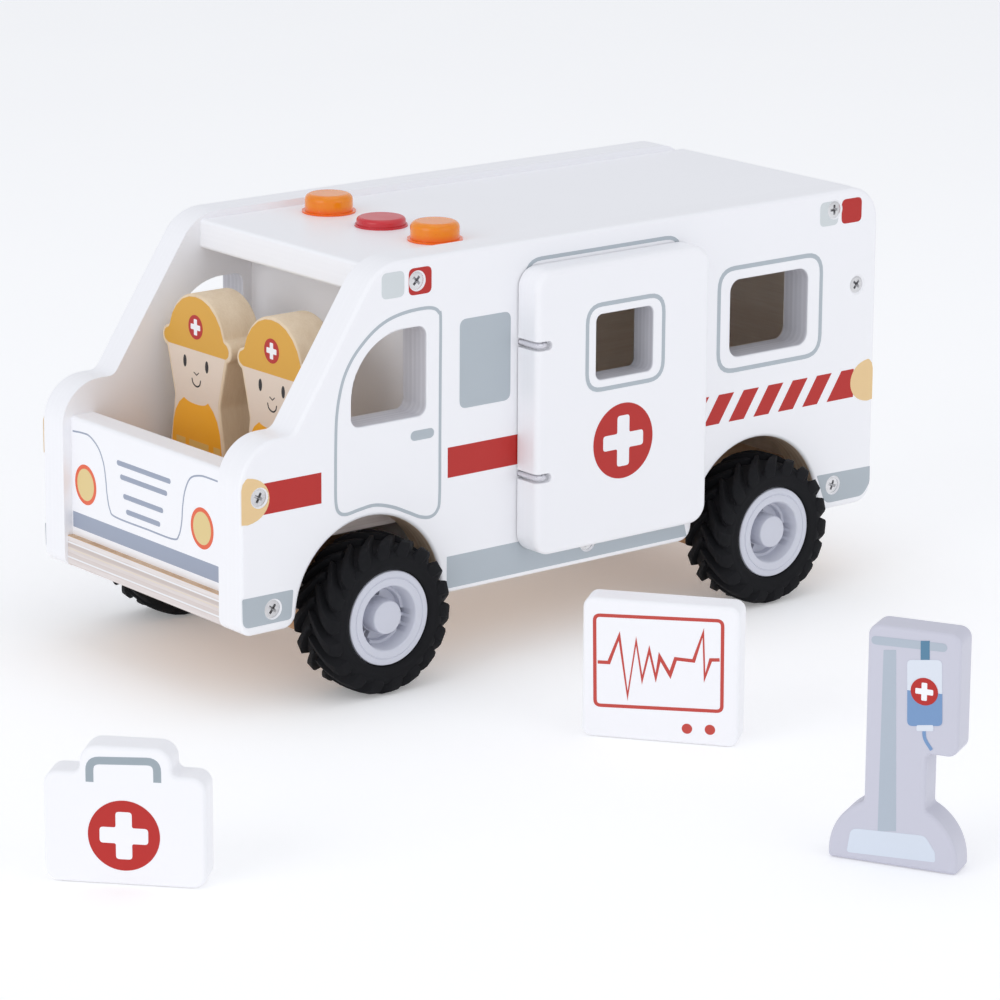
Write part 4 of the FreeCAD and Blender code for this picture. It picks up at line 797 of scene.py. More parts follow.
def cross_outline(u, v, long, wide, rounding):
    a, b = long / 2, wide / 2
    corners = [(-b, -a), (b, -a), (b, -b), (a, -b), (a, b), (b, b), (b, a), (-b, a), (-b, b),
               (-a, b), (-a, -b), (-b, -b)]
    radii = [rounding] * 2 + [rounding * 0.6] + [rounding] * 2 + [rounding * 0.6]
    return bent([(u + x, v + y) for x, y in corners], radii * 2, 4)


def lathe(bm, outline, spot, count=96, close=True):
    """Surface turned about the X axis from (x, radius) pairs."""
    rings = []
    for x, radius in outline:
        if radius < 1e-9:
            rings.append([bm.verts.new(spot(x, 0.0, 0.0))])
        else:
            rings.append([bm.verts.new(spot(x, radius * math.cos(2 * math.pi * k / count),
                                            radius * math.sin(2 * math.pi * k / count)))
                          for k in range(count)])
    pairs = list(zip(rings, rings[1:]))
    if close:
        pairs.append((rings[-1], rings[0]))
    for one, two in pairs:
        for k in range(count):
            a, b = k, (k + 1) % count
            if len(one) == 1 and len(two) == 1:
                continue
            if len(one) == 1:
                bm.faces.new((one[0], two[a], two[b]))
            elif len(two) == 1:
                bm.faces.new((one[a], two[0], one[b]))
            else:
                bm.faces.new((one[a], two[a], two[b], one[b]))


# Where flat prints go: each gives a function from sideways, up and lift to a point.

def on_side(sign):
    return lambda u, v, lift: at(sign * (PANEL_HALF + lift), u, v)


def on_door(u, v, lift):
    return at(DOOR_FACE + lift, u, v)


def on_hood(u, v, lift):
    return at(u, HOOD_FACE - lift, v)


def on_figure(sign):
    return lambda u, v, lift: at(sign * FIGURE_APART + u, FIGURE_FACE - lift, FIGURE_FLOOR + v)


def on_toy(right, back, turn):
    """Front face of an accessory that stands turned on the floor."""
    angle = math.radians(turn)
    wide = Vector((math.cos(angle), math.sin(angle), 0))
    front = Vector((math.sin(angle), -math.cos(angle), 0))
    corner = Vector((right, back, 0))

    def spot(u, v, lift):
        point = corner + wide * u + front * lift + Vector((0, 0, v))
        return at(*point)
    return spot


def print_piece(name, shapes, spot, colour, body, layer=1, cutter=None):
    """One ink on one surface: thin plates that stand a few hundredths proud."""
    material = MATERIALS["print " + colour]
    bm = bmesh.new()
    for loops in shapes:
        slab(bm, loops, SUNK, LIFT * layer, spot)
    if cutter is None:
        return new_piece(name, bm, material, body)
    whole = new_piece(name + "_whole", bm, material, None)
    return add_piece(name, carved(whole, cutter), material, body)


def print_all(spot, body, rows):
    for name, colour, layer, *shapes in rows:
        print_piece(name, shapes, spot, colour, body, layer)


def badge(names, spot, body, place, radius, cross, layer, count=48):
    """Red disc with a white cross, which is given by its length, width and rounding."""
    print_all(spot, body, ((names[0], "red", layer, [circle(*place, radius, count)]),
                           (names[1], "white", layer + 1, [cross_outline(*place, *cross)])))


def screw_cutter(spot):
    """Rods that clear the prints over the countersunk screws."""
    bm = bmesh.new()
    for place in SCREW_PLACES:
        slab(bm, [circle(*place, SCREW_CLEAR, 40)], -2.0, 2.0, spot)
    return new_piece("screw_cutter", bm, None, None)


CAB_DOOR = [(95.9, 144.2), (95.8, 120), (95.7, 95), (95.6, 73), (94.4, 67.6), (91, 65.6),
            (86, 66.4), (80, 69.2), (72, 72.8), (63.6, 74.9), (56, 74.3), (50, 73.5), (46.4, 74.8),
            (44.9, 79), (44.8, 90), (44.9, 101), (45.3, 111.9), (46.6, 120.3), (49.0, 128.1),
            (53.0, 134.8), (58.3, 140.3), (64.2, 144.8), (70.8, 147.9), (79, 149.6), (88, 150.0),
            (92.8, 149.2), (95.2, 147.2)]


def side_prints(side, sign):
    """Stripes, windows, lamps and markers on a side panel."""
    spot = on_side(sign)
    cutter = screw_cutter(spot)
    low, high, pitch = 79.9, 92.2, 13.8
    end, count = (137.0, 6) if sign > 0 else (150.0, 7)

    def put(name, colour, layer, *shapes):
        print_piece(f"{name}_{side}", shapes, spot, colour, "chassis", layer, cutter)

    red = [[box_of(10.6, 38, low, high)], [box_of(99.6, end, low, high)],
           [[(302.9, low), (318.2, low), (318.2, high), (311.1, high)]],
           [box_of(80.2, 91.4, 155.8, 166.5, 2.6)], [box_of(308.9, 320.4, 155.8, 166.3, 2.6)]]
    grey = [[box_of(105.4, 131, 107, 143, 3.4)],
            [bent([(99.3, 34.6), (225.3, 34.6), (222.0, 47.7), (99.3, 47.7)], [0, 0, 2, 0])],
            [bent([(0.6, 36.2), (23.4, 36.2), (24.4, 47.9), (0.4, 48.1)], [3.4, 2.0, 0.8, 0.8])],
            [bent([(303.3, 35.4), (325.4, 35.4), (329.3, 40.5), (329.3, 47.8), (298.3, 48.4)],
                  [5, 6, 4, 0.5, 0.5])],
            band(flowing(CAB_DOOR, True), 1.35),
            ribbon([(83.2, 99.6), (90.8, 99.6)], 4.0, True),
            band(box_of(241.0, 298.1, 101.5, 144.8, 8.5), 1.9)]
    if sign > 0:
        grey.append(ribbon(bent([(138.5, 136), (138.5, 162.2), (219.5, 162.2), (219.5, 60)],
                                [0, 8, 8, 0]), 1.6))
    else:
        red.append([circle(*CROSS_PLACE, CROSS_DISC, 64)])
        grey.append([box_of(140, 196, 107, 143, 3.4)])
    put("red_print", "red", 1, *red)
    if sign < 0:
        print_piece(f"white_cross_{side}", [[cross_outline(*CROSS_PLACE, *CROSS_SIZE, 1.4)]],
                    spot, "white", "chassis", 2)
    put("grey_print", "grey", 1, *grey)
    put("pale_marker", "pale", 1, [box_of(67.1, 78.1, 156, 166.3, 2.6)],
        [box_of(296.6, 307, 156, 166.3, 2.6)])
    front = [(0.4, 77.4)] + [(13.4 * math.cos(a) ** 0.8, 86.2 + 9.3 * math.sin(a))
                             for a in [math.radians(d) for d in range(-80, 90, 10)]]
    front += [(2.4, 94.9), (1.0, 93.2), (0.4, 90.8)]
    rear = [(329.6 - u + 0.2, v) for u, v in front][::-1]
    put("yellow_lamp", "yellow", 2, [front], [rear])
    material, bar = MATERIALS["print red"], bmesh.new()
    slab(bar, [[(0, low), (8.45, low), (16.6, high), (8.15, high)]], SUNK, LIFT, spot)
    one = new_piece(f"bar_{side}", bar, material, None)
    one.data.transform(Matrix.Translation(Vector((0, (302.7 - pitch * count) * MM, 0))))
    repeated = run_tree(one, "row", material, Count=count, Step=(0, pitch * MM, 0))
    add_piece(f"slanted_bars_{side}", repeated, material, "chassis")
    bpy.data.objects.remove(cutter)


# Geometry node trees for what repeats

TREES = {}


def shape_tree(name, **ins):
    tree, ins, outs = new_group("GeometryNodeTree", name,
                                {"Geometry": None, **ins, "Material": None}, ("Geometry",))
    tree.is_modifier = True
    return tree, ins, outs


def line_of(tree, count, step):
    return add(tree, "GeometryNodeMeshLine", {"Count": count, "Offset": step},
               mode="OFFSET").outputs[0]


def copies(tree, ins, outs, points, instance, angle=None):
    """Ends a shape tree: real copies at the points, turned about X, with their finish."""
    links = {"Points": points, "Instance": instance}
    if angle is not None:
        links["Rotation"] = add(tree, "ShaderNodeCombineXYZ", {0: angle}).outputs[0]
    instances = add(tree, "GeometryNodeInstanceOnPoints", links).outputs[0]
    real = add(tree, "GeometryNodeRealizeInstances", {0: instances}).outputs[0]
    done = add(tree, "GeometryNodeSetMaterial", {"Geometry": real, "Material": ins["Material"]})
    return finish_group(tree, outs, Geometry=done.outputs[0])


def row_tree():
    """Copies of a piece in a straight row."""
    tree, ins, outs = shape_tree("copies_in_a_row", Count=2, Step=None)
    return copies(tree, ins, outs, line_of(tree, ins["Count"], ins["Step"]), ins["Geometry"])


def ring_tree():
    """Copies of a piece turned about the X axis."""
    tree, ins, outs = shape_tree("copies_round_an_axle", Count=2, Start=0.0)
    index = tree.nodes.new("GeometryNodeInputIndex").outputs[0]
    step = maths(tree, "DIVIDE", 2 * math.pi, ins["Count"])
    angle = plus(tree, times(tree, index, step), ins["Start"])
    return copies(tree, ins, outs, line_of(tree, ins["Count"], (0, 0, 0)), ins["Geometry"], angle)


def place_tree():
    """Copies of another piece at the points of this one, each with its own turn."""
    tree, ins, outs = shape_tree("copies_at_places", Piece=None, Spread=1.0, Seed=3)
    source = add(tree, "GeometryNodeObjectInfo", {"Object": ins["Piece"]}).outputs["Geometry"]
    chance = add(tree, "FunctionNodeRandomValue", {"Min": 0.0, "Max": ins["Spread"],
                                                   "Seed": ins["Seed"]}, data_type="FLOAT")
    angle = next(o for o in chance.outputs if o.type == "VALUE" and o.enabled)
    return copies(tree, ins, outs, ins["Geometry"], source, angle)


def run_tree(piece, kind, material, **values):
    """Plain mesh that a shape tree makes from a piece; the piece is removed."""
    values["Material"] = material
    modifier = piece.modifiers.new("copies", "NODES")
    modifier.node_group = TREES[kind]
    for item in TREES[kind].interface.items_tree:
        if getattr(item, "in_out", "") == "INPUT" and item.name in values:
            modifier[item.identifier] = values[item.name]
    return solidified(piece)


# Wheels

def wheel_spot(sign, axle):
    return lambda x, y, z: at(sign * x, axle + y, AXLE_HEIGHT + z)


def wheels():
    """Name, body and spot of each wheel, and the sign of its side."""
    for end, axle in AXLES.items():
        for side, sign in SIDES.items():
            yield f"{end}_{side}", f"{end}_wheels", wheel_spot(sign, axle), sign


# Half section of a hub: distance from the rim's plane and radius.
HUB = [(-1.0, 0), (-1.0, 5.9), (-1.25, 6.5), (-1.9, 6.8), (-9.0, 6.95), (-9.0, 10.2), (-6.9, 10.5),
       (-6.6, 10.9), (-6.6, 11.6), (-1.0, 12.75), (-0.35, 12.95), (0, 13.4), (0, 15.9),
       (-0.3, 16.1), (-0.3, 16.4), (-0.05, 16.6), (-0.05, 18.2), (-0.35, 18.8), (-1.1, HUB_RADIUS),
       (-22.8, HUB_RADIUS), (-22.8, 17.4), (-12, 17.4), (-12, 6.0), (-24.5, 4.4), (-24.5, 2.52),
       (-3.1, 2.52), (-3.1, 0)]


def carcass_outline(radius):
    """Section of the tyre without its lugs."""
    foot = HUB_RADIUS + 0.06
    return [(57.6, foot), (56.6, 20.2), (55.8, 22.6), (55.6, 24.6), (56.4, radius - 2.2),
            (58.4, radius - 0.6), (62.5, radius - 0.1), (67.3, radius + 0.1),
            (72.1, radius - 0.1), (76.2, radius - 0.6), (78.2, radius - 2.2), (79.0, 24.8),
            (79.05, 23.4), (78.85, 22.6), (79.0, 21.8), (78.9, 20.6), (78.5, 19.6), (77.4, foot)]


def lug_mesh(bm, sizes, side):
    """One slanted lug from the middle of the tread over the shoulder, in the wheel's own frame."""
    top = sizes.radius / MM
    half = sizes.lug_wide / MM / 2
    low = top - sizes.lug_high / MM
    stations = [(-0.8, 0.0, 0.5, 0.32), (0.8, 0.0, 0.1, 0.42), (3.6, 0.0, 0.0, 0.56),
                (6.6, 0.3, 0.05, 0.74), (9.0, 0.8, 0.25, 0.9), (10.6, 1.6, 1.0, 1.0),
                (11.5, 2.4, 2.3, 1.04), (11.9, 3.6, 4.2, 1.02), (11.85, 4.8, 6.6, 0.78)]
    middle = (TYRE_IN + TYRE_OUT) / 2
    rows = []
    for x, sink, drop, share in stations:
        lean = -sizes.slant * max(0.0, x) / 11.0
        inside, inner, outer = min(x, 10.4), low - sink, top - drop
        row = []
        for across, radius, wide in ((inside, inner - 0.9, 1.3), (inside, inner, 1.22),
                                     (x, outer, 0.8), (x, outer, -0.8),
                                     (inside, inner, -1.22), (inside, inner - 0.9, -1.3)):
            angle = lean + wide * half * share / radius
            row.append(bm.verts.new(Vector((side * across + middle, radius * math.sin(angle),
                                            radius * math.cos(angle)))))
        rows.append(row)
    for one, two in zip(rows, rows[1:]):
        for k in range(len(one)):
            a, b = k, (k + 1) % len(one)
            bm.faces.new((one[a], two[a], two[b], one[b]))
    bm.faces.new(rows[0])
    bm.faces.new(rows[-1][::-1])


def slotted_hub():
    """Plain mesh of one hub with its three groups of slots, in the wheel's own frame."""
    cut = bmesh.new()
    for degrees in (-17, 0, 17):
        a = math.radians(degrees)
        slab(cut, [box_of(-1.05, 1.05, 7.3, 12.3)], RIM - 14.0, RIM - 2.8,
             lambda u, v, lift: Vector((lift, u * math.cos(a) + v * math.sin(a),
                                        v * math.cos(a) - u * math.sin(a))))
    group = new_piece("slot_group", cut, MATERIALS["hub"], None)
    slots = run_tree(group, "ring", MATERIALS["hub"], Count=3, Start=math.radians(12))
    cutter = add_piece("slot_cutter", slots, None, None)
    bm = bmesh.new()
    lathe(bm, [(RIM + x, radius) for x, radius in HUB], as_it_is, 128, False)
    mesh = carved(new_piece("whole_hub", bm, MATERIALS["hub"], None), cutter)
    bpy.data.objects.remove(cutter)
    return mesh


class AMBULANCE_OT_hubs(bpy.types.Operator):
    """Four grey hubs with a deep dish, a boss and groups of slots"""
    bl_idname = "ambulance.hubs"
    bl_label = "Hubs"

    def execute(self, context):
        source = slotted_hub()
        for name, body, spot, sign in wheels():
            mesh = placed(source.copy(), spot)
            if sign < 0:
                mesh.flip_normals()
            add_piece(f"{name}_slotted_hub", mesh, MATERIALS["hub"], body, True,
                      [f"{name}_hub"])
            mesh.set_sharp_from_angle(angle=math.radians(32))
        bpy.data.meshes.remove(source)
        return {"FINISHED"}


class AMBULANCE_OT_tyres(bpy.types.Operator):
    """Four rubber tyres with slanted lugs over both shoulders"""
    bl_idname = "ambulance.tyres"
    bl_label = "Tyres"

    def execute(self, context):
        sizes, material = context.scene.ambulance_wheels, MATERIALS["tyre"]
        for name, body, spot, _ in wheels():
            shell = bmesh.new()
            lathe(shell, carcass_outline((sizes.radius - sizes.lug_high) / MM), spot, 160)
            for half, start in ((1, 0.0), (-1, math.pi / sizes.lugs)):
                lug = bmesh.new()
                lug_mesh(lug, sizes, half)
                one = new_piece("lug", lug, material, None)
                soft = one.modifiers.new("soft edges", "BEVEL")
                soft.width, soft.segments, soft.limit_method = 0.7, 3, "ANGLE"
                soft.angle_limit = math.radians(28)
                ring = placed(run_tree(one, "ring", material, Count=sizes.lugs, Start=start), spot)
                shell.from_mesh(ring)
                bpy.data.meshes.remove(ring)
            new_piece(f"{name}_lugged_tyre", shell, material, body, True,
                      [f"{name}_tyre"])
        return {"FINISHED"}


# Screws, spring and cords

def screw_source():
    """A countersunk cross-recess screw head with a short shank, pointing along +X at the origin."""
    steel, bm, cut = MATERIALS["steel"], bmesh.new(), bmesh.new()
    outline = [(0.0, 0.0), (-0.02, 1.6), (-0.08, 2.8), (-0.2, 3.6), (-0.34, 3.93), (-0.55, 3.95),
               (-3.0, 1.9), (-12.0, 1.9), (-12.0, 0.0)]
    lathe(bm, [(x * MM, r * MM) for x, r in outline], as_it_is, 40, False)
    head = new_piece("screw_head", bm, steel, None)

    def spot(u, v, lift):
        taper = 1.0 if lift > -0.5 else 0.45
        return Vector((lift, u * taper, v * taper)) * MM
    slab(cut, [cross_outline(0, 0, 4.9, 1.3, 0.25)], -2.2, 0.6, spot)
    cross = new_piece("screw_cross", cut, steel, None)
    mesh = carved(head, cross)
    bpy.data.objects.remove(cross)
    return add_piece("screw_source", mesh, steel, None)


class AMBULANCE_OT_screws(bpy.types.Operator):
    """Cross-recess screws in both side panels"""
    bl_idname = "ambulance.screws"
    bl_label = "Screws"

    def execute(self, context):
        source, steel = screw_source(), MATERIALS["steel"]
        for side, sign in SIDES.items():
            low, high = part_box(f"{side}_panel_screws")
            face = high.x if sign > 0 else low.x
            bm = bmesh.new()
            for along_body, up in SCREW_PLACES:
                point = at(0, along_body, up)
                bm.verts.new(Vector((abs(face - HOME.x), point.y, point.z)))
            host = new_piece("screw_places", bm, None, None)
            mesh = run_tree(host, "places", steel, Piece=source, Spread=1.6, Seed=5)
            for vertex in mesh.vertices:
                vertex.co.x = HOME.x + sign * vertex.co.x
            if sign < 0:
                mesh.flip_normals()
            add_piece(f"{side}_cross_screws", mesh, steel, "chassis", False,
                      [f"{side}_panel_screws"])
        bpy.data.objects.remove(source)
        return {"FINISHED"}


class AMBULANCE_OT_spring(bpy.types.Operator):
    """Coil under the siren button, a copy of the part's spring in bright nickel"""
    bl_idname = "ambulance.spring"
    bl_label = "Button spring"

    def execute(self, context):
        node = NODES["button_spring"]
        mesh = node.data.copy()
        mesh.transform(node.matrix_world)
        piece = add_piece("soft_button_spring", mesh, MATERIALS["nickel"], "chassis",
                          True, ["button_spring"])
        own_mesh(piece)
        return {"FINISHED"}


class AMBULANCE_OT_door_cords(bpy.types.Operator):
    """Two elastic cords that bend where the door turns"""
    bl_idname = "ambulance.door_cords"
    bl_label = "Door cords"

    def execute(self, context):
        elastic = MATERIALS["elastic"]
        flat = [CORD_FROM, 60.0, 66.0] + [67 + 0.25 * k for k in range(21)] + [74.0, 76.5]
        route = [(x, CORD_LINE) for x in flat]
        route += [(CORD_BEND + CORD_TURN * math.sin(a),
                   CORD_LINE + CORD_TURN - CORD_TURN * math.cos(a))
                  for a in [math.radians(15 * k) for k in range(13)]]
        route += [(CORD_BEND - back, CORD_LINE + 2 * CORD_TURN) for back in (2.5, 5.0)]
        for name, level in CORD_LEVELS.items():
            curve = bpy.data.curves.new("cord_line", "CURVE")
            curve.dimensions = "3D"
            curve.bevel_depth, curve.bevel_resolution = CORD_HALF * MM, 5
            curve.use_fill_caps = True
            spline = curve.splines.new("POLY")
            spline.points.add(len(route) - 1)
            for point, (x, y) in zip(spline.points, route):
                point.co = (*at(x, y, level), 1.0)
            cord = bpy.data.objects.new("cord_line", curve)
            bpy.context.scene.collection.objects.link(cord)
            nodes = [f"{name}_door_elastic"] + (["door_elastic_ends"] if name == "upper" else [])
            piece = add_piece(f"{name}_hinge_cord", solidified(cord), elastic, None,
                              True, nodes)
            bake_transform(piece)
            knot = bmesh.new()
            bmesh.ops.create_uvsphere(knot, u_segments=24, v_segments=16, radius=2.6 * MM)
            for vertex in knot.verts:
                swell = 1 + 0.08 * math.sin(vertex.co.x * 3000 + vertex.co.y * 2200)
                vertex.co = at(CORD_FROM - 0.4, CORD_LINE, level) + vertex.co * swell
            new_piece(f"{name}_cord_knot", knot, elastic, "chassis", True)
        return {"FINISHED"}


# Prints

class AMBULANCE_OT_side_prints(bpy.types.Operator):
    """Printed stripes, windows, lamps and markers on both sides"""
    bl_idname = "ambulance.side_prints"
    bl_label = "Side prints"

    def execute(self, context):
        for side, sign in SIDES.items():
            side_prints(side, sign)
        return {"FINISHED"}


class AMBULANCE_OT_hood_prints(bpy.types.Operator):
    """Headlights, grille and bumper on the hood board"""
    bl_idname = "ambulance.hood_prints"
    bl_label = "Hood prints"

    def execute(self, context):
        lights = ((-44, 68.6), (37.5, 68.7))
        line = [(-52.9, 89.1), (-46, 89.7), (-40.5, 89.4), (-34.5, 86), (-30.9, 80.5), (-29.4, 74),
                (-28.6, 68), (-26.8, 62.2), (-22.5, 59.9), (0, 59.8), (17.5, 59.9), (21.5, 62.2),
                (23.6, 68), (24.4, 74.5), (26.2, 81.5), (30.0, 87.2), (36.5, 89.5), (44, 89.8),
                (52.9, 89.6)]
        bars = [(-20.2, 15.3, 82.8), (-18, 12.8, 77.4), (-16, 9.9, 69.8), (-14.1, 7.7, 63.8)]
        print_all(on_hood, "chassis", (
            ("headlight_rings", "amber", 1, *([circle(u, v, 7.7, 48, 8.3)] for u, v in lights)),
            ("headlight_centres", "headlight", 2,
             *([circle(u, v, 6.0, 48, 6.6)] for u, v in lights)),
            ("hood_lines", "slate", 1, ribbon(flowing(line), 0.7),
             *(ribbon([(u0, v), (u1, v)], 2.1, True) for u0, u1, v in bars),
             [box_of(-53.6, 53.6, 49.3, 55.8)])))
        return {"FINISHED"}


class AMBULANCE_OT_door_prints(bpy.types.Operator):
    """Window ring and cross on the side door"""
    bl_idname = "ambulance.door_prints"
    bl_label = "Door prints"

    def execute(self, context):
        badge(("door_disc", "door_cross"), on_door, "door", CROSS_PLACE, CROSS_DISC,
              (*CROSS_SIZE, CROSS_SIZE[1] * 0.22), 2, 64)
        print_piece("door_window_ring", [band(box_of(160.1, 200.1, 108.1, 142.9, 7.5), 1.8)],
                    on_door, "grey", "door")
        return {"FINISHED"}


HAT = [(-19.5, 48.2), (20.4, 48.3), (22.2, 49.6), (22.6, 51.8), (21.3, 53.9), (18.9, 54.9),
       (18.3, 56.6), (16.7, 60.6), (13.6, 64.6), (9.2, 68.0), (4.6, 69.7), (0, 70.2), (-4.6, 69.7),
       (-9.2, 68.0), (-13.6, 64.6), (-16.7, 60.6), (-18.3, 56.6), (-18.9, 54.9), (-21.6, 53.7),
       (-22.7, 51.6), (-22.0, 49.4)]
BIB = [(-9.0, 27.4), (-12.4, 24.9), (-15.0, 21.2), (-16.6, 16.2), (-17.4, 10.8), (-17.7, 6.0),
       (-17.8, 1.4), (17.6, 1.4), (17.4, 6.0), (16.8, 10.8), (16.0, 16.4), (14.2, 21.4),
       (11.4, 25.2), (7.9, 28.0)]
FACE = [(19.4, 46.6), (16.8, 36.6), (14.7, 28.0), (16.0, 18.8), (17.9, 10.0), (18.2, 1.0),
        (-18.2, 1.0), (-17.9, 10.0), (-16.0, 18.8), (-14.7, 28.0), (-16.8, 36.6), (-19.4, 46.6),
        (-20.4, 49.6), (20.4, 49.6)]


class AMBULANCE_OT_figures(bpy.types.Operator):
    """Printed hats, faces and dungarees of the two figures"""
    bl_idname = "ambulance.figures"
    bl_label = "Figure prints"

    def execute(self, context):
        neck = flowing([(7.9, 28.0), (6.2, 26.9), (3.4, 26.2), (0, 26.0), (-3.6, 26.1),
                        (-6.9, 26.6), (-9.0, 27.4)])
        smile = flowing([(-3.1, 36.2), (-2.5, 34.6), (-1.2, 33.7), (0.3, 33.4), (1.5, 33.8),
                         (2.4, 34.7), (2.8, 36.1)])
        for body, sign in (("driver", -1), ("partner", 1)):
            spot = on_figure(sign)
            print_all(spot, body, (
                (f"{body}_face", "face", 1, [bent(FACE, 3.0, 4)]),
                (f"{body}_hat", "hat", 2, [bent(HAT, 2.0, 3)]),
                (f"{body}_overall", "overall", 2, [BIB[1:-1] + neck]),
                (f"{body}_belt", "belt", 3, [box_of(-14.6, -8.3, 7.6, 10.7)],
                 [box_of(-5.4, 8.0, 7.6, 10.7)], [box_of(11.5, 16.3, 7.6, 10.7)])))
            badge((f"{body}_badge", f"{body}_badge_cross"), spot, body, (-0.2, 57.8), 5.0,
                  (6.6, 2.2, 0.4), 3)
            print_all(spot, body, (
                (f"{body}_features", "ink black", 2, [circle(-8.0, 42.7, 1.15, 32, 2.5)],
                 [circle(7.3, 42.7, 1.15, 32, 2.5)],
                 ribbon([(-1.7, 39.0), (0.1, 38.1), (1.5, 39.2)], 0.45, True),
                 ribbon(smile, 0.65, True)),))
        return {"FINISHED"}


class AMBULANCE_OT_accessories(bpy.types.Operator):
    """Printed faces of the monitor, the first aid case and the drip stand"""
    bl_idname = "ambulance.accessories"
    bl_label = "Accessory prints"

    def execute(self, context):
        trace = [(6.0, 29.7), (10.3, 29.8), (14.2, 40.6), (17.7, 17.2), (20.7, 39.1), (23.2, 24.0),
                 (25.8, 36.0), (28.4, 25.2), (29.8, 33.6), (33.9, 26.8), (35.9, 33.3), (42.8, 33.0),
                 (46.3, 44.3), (47.1, 26.7), (49.3, 33.9), (52.7, 34.2)]
        screen = bent([(4.6, 48.1), (53.6, 49.5), (53.9, 14.0), (5.2, 12.6)], 2.2)
        print_all(on_toy(*MONITOR_SPOT), "monitor", (
            ("monitor_screen", "monitor red", 1, band(screen, 1.35), ribbon(trace, 1.35),
             [circle(40.7, 6.1, 2.0)], [circle(49.5, 6.4, 2.0)]),))
        spot = on_toy(*CASE_SPOT)
        badge(("case_disc", "case_cross"), spot, "case", (28.1, 17.9), 12.6,
              (17.0, 5.7, 5.7 * 0.22), 2, 64)
        handle = bent([(16.4, 36.6), (16.4, 44.3), (40.0, 45.1), (40.0, 37.6)], [0, 3.6, 3.6, 0])
        print_piece("case_handle_line", [ribbon(handle, 2.75)], spot, "handle", "case")
        spot = on_toy(*STAND_SPOT)
        foot = [(7.0, 2.7), (39.3, 3.8), (39.0, 7.4), (35.2, 12.9), (8.3, 11.7)]
        bag = [(27.7, 51.7), (40.2, 53.5), (39.4, 77.0), (27.0, 75.4)]
        liquid = [(27.7, 51.7), (40.2, 53.5), (39.85, 64.9), (27.35, 64.6)]
        cap = [(31.1, 50.4), (37.2, 51.2), (37.1, 53.4), (31.1, 52.5)]
        drop = flowing([(33.8, 50.8), (33.9, 49.0), (34.6, 47.2), (36.7, 44.3)])
        print_all(spot, "stand", (
            ("stand_pole", "pole", 1, [[(18.4, 77.8), (22.9, 78.4), (24.8, 13.0), (18.1, 12.0)]]),
            ("stand_bar", "pole", 2, ribbon([(15.4, 80.9), (39.6, 81.4)], 3.0, True)),
            ("stand_plate", "base plate", 2, [bent(foot, [1, 1, 2, 3, 3])]),
            ("stand_strap", "teal", 3, [[(31.6, 82.8), (34.8, 83.2), (35.0, 76.0), (31.8, 75.6)]]),
            ("stand_bag", "clear", 4, [bent(bag, 1.8)]),
            ("stand_liquid", "bag", 5, [bent(liquid, [1.8, 1.8, 0, 0])]),
            ("stand_cap", "clear", 6, [bent(cap, 0.6)]),
            ("stand_tube", "bag", 4, ribbon(drop, 1.2))))
        badge(("stand_badge", "stand_badge_cross"), spot, "stand", (33.5, 64.9), 4.9,
              (6.4, 2.0, 0.4), 7)
        return {"FINISHED"}


# Finishes and studio

CAD_FINISHES = {
    "left panel": ["left_side_panel"], "right panel": ["right_side_panel"], "roof": ["roof_panel"],
    "hood": ["hood_panel"], "bulkhead": ["cab_bulkhead"], "tail": ["rear_panel"],
    "door": ["side_door"], "case": ["first_aid_case"], "monitor": ["heart_monitor"],
    "stand": ["drip_stand"], "base": ["base_board"], "cab floor": ["cab_floor"],
    "block": ["front_axle_block", "rear_axle_block"], "figure": ["driver_figure", "partner_figure"],
    "hub": ["front_left_hub", "front_right_hub", "rear_left_hub", "rear_right_hub"],
    "tyre": ["front_left_tyre", "front_right_tyre", "rear_left_tyre", "rear_right_tyre"],
    "steel": ["front_axle", "rear_axle", "left_panel_screws", "right_panel_screws",
              "axle_block_screws", "housing_screws", "battery_cover_screw"],
    "elastic": ["upper_door_elastic", "lower_door_elastic", "door_elastic_ends"],
    "lens": ["left_beacon_lens", "right_beacon_lens"],
    "button": ["siren_button", "siren_button_ring"],
    "unit": ["sound_unit_housing", "battery_cover"], "circuit": ["circuit_board"],
    "black": ["push_switch", "speaker"], "nickel": ["button_spring", "button_cells"],
    "brass": ["battery_contact"], "bulb": ["beacon_lamps"],
}


class AMBULANCE_OT_finishes(bpy.types.Operator):
    """Finishes of the parts that come from the frame"""
    bl_idname = "ambulance.finishes"
    bl_label = "Finishes"

    def execute(self, context):
        make_materials()
        TREES.update(row=row_tree(), ring=ring_tree(), places=place_tree())
        left = set(NODES)
        for finish, names in CAD_FINISHES.items():
            for name in names:
                mesh = NODES[name].data
                mesh.materials.clear()
                mesh.materials.append(MATERIALS[finish])
                left.discard(name)
        if left:
            raise RuntimeError(f"no finish for {sorted(left)}")
        return {"FINISHED"}


def camera_axes(azimuth, elevation, roll):
    a, e, r = (math.radians(v) for v in (azimuth, elevation, roll))
    back = Vector((math.sin(a) * math.cos(e), -math.cos(a) * math.cos(e), math.sin(e)))
    right = Vector((math.cos(a), math.sin(a), 0))
    up = back.cross(right)
    return (right * math.cos(r) + up * math.sin(r), up * math.cos(r) - right * math.sin(r), back)


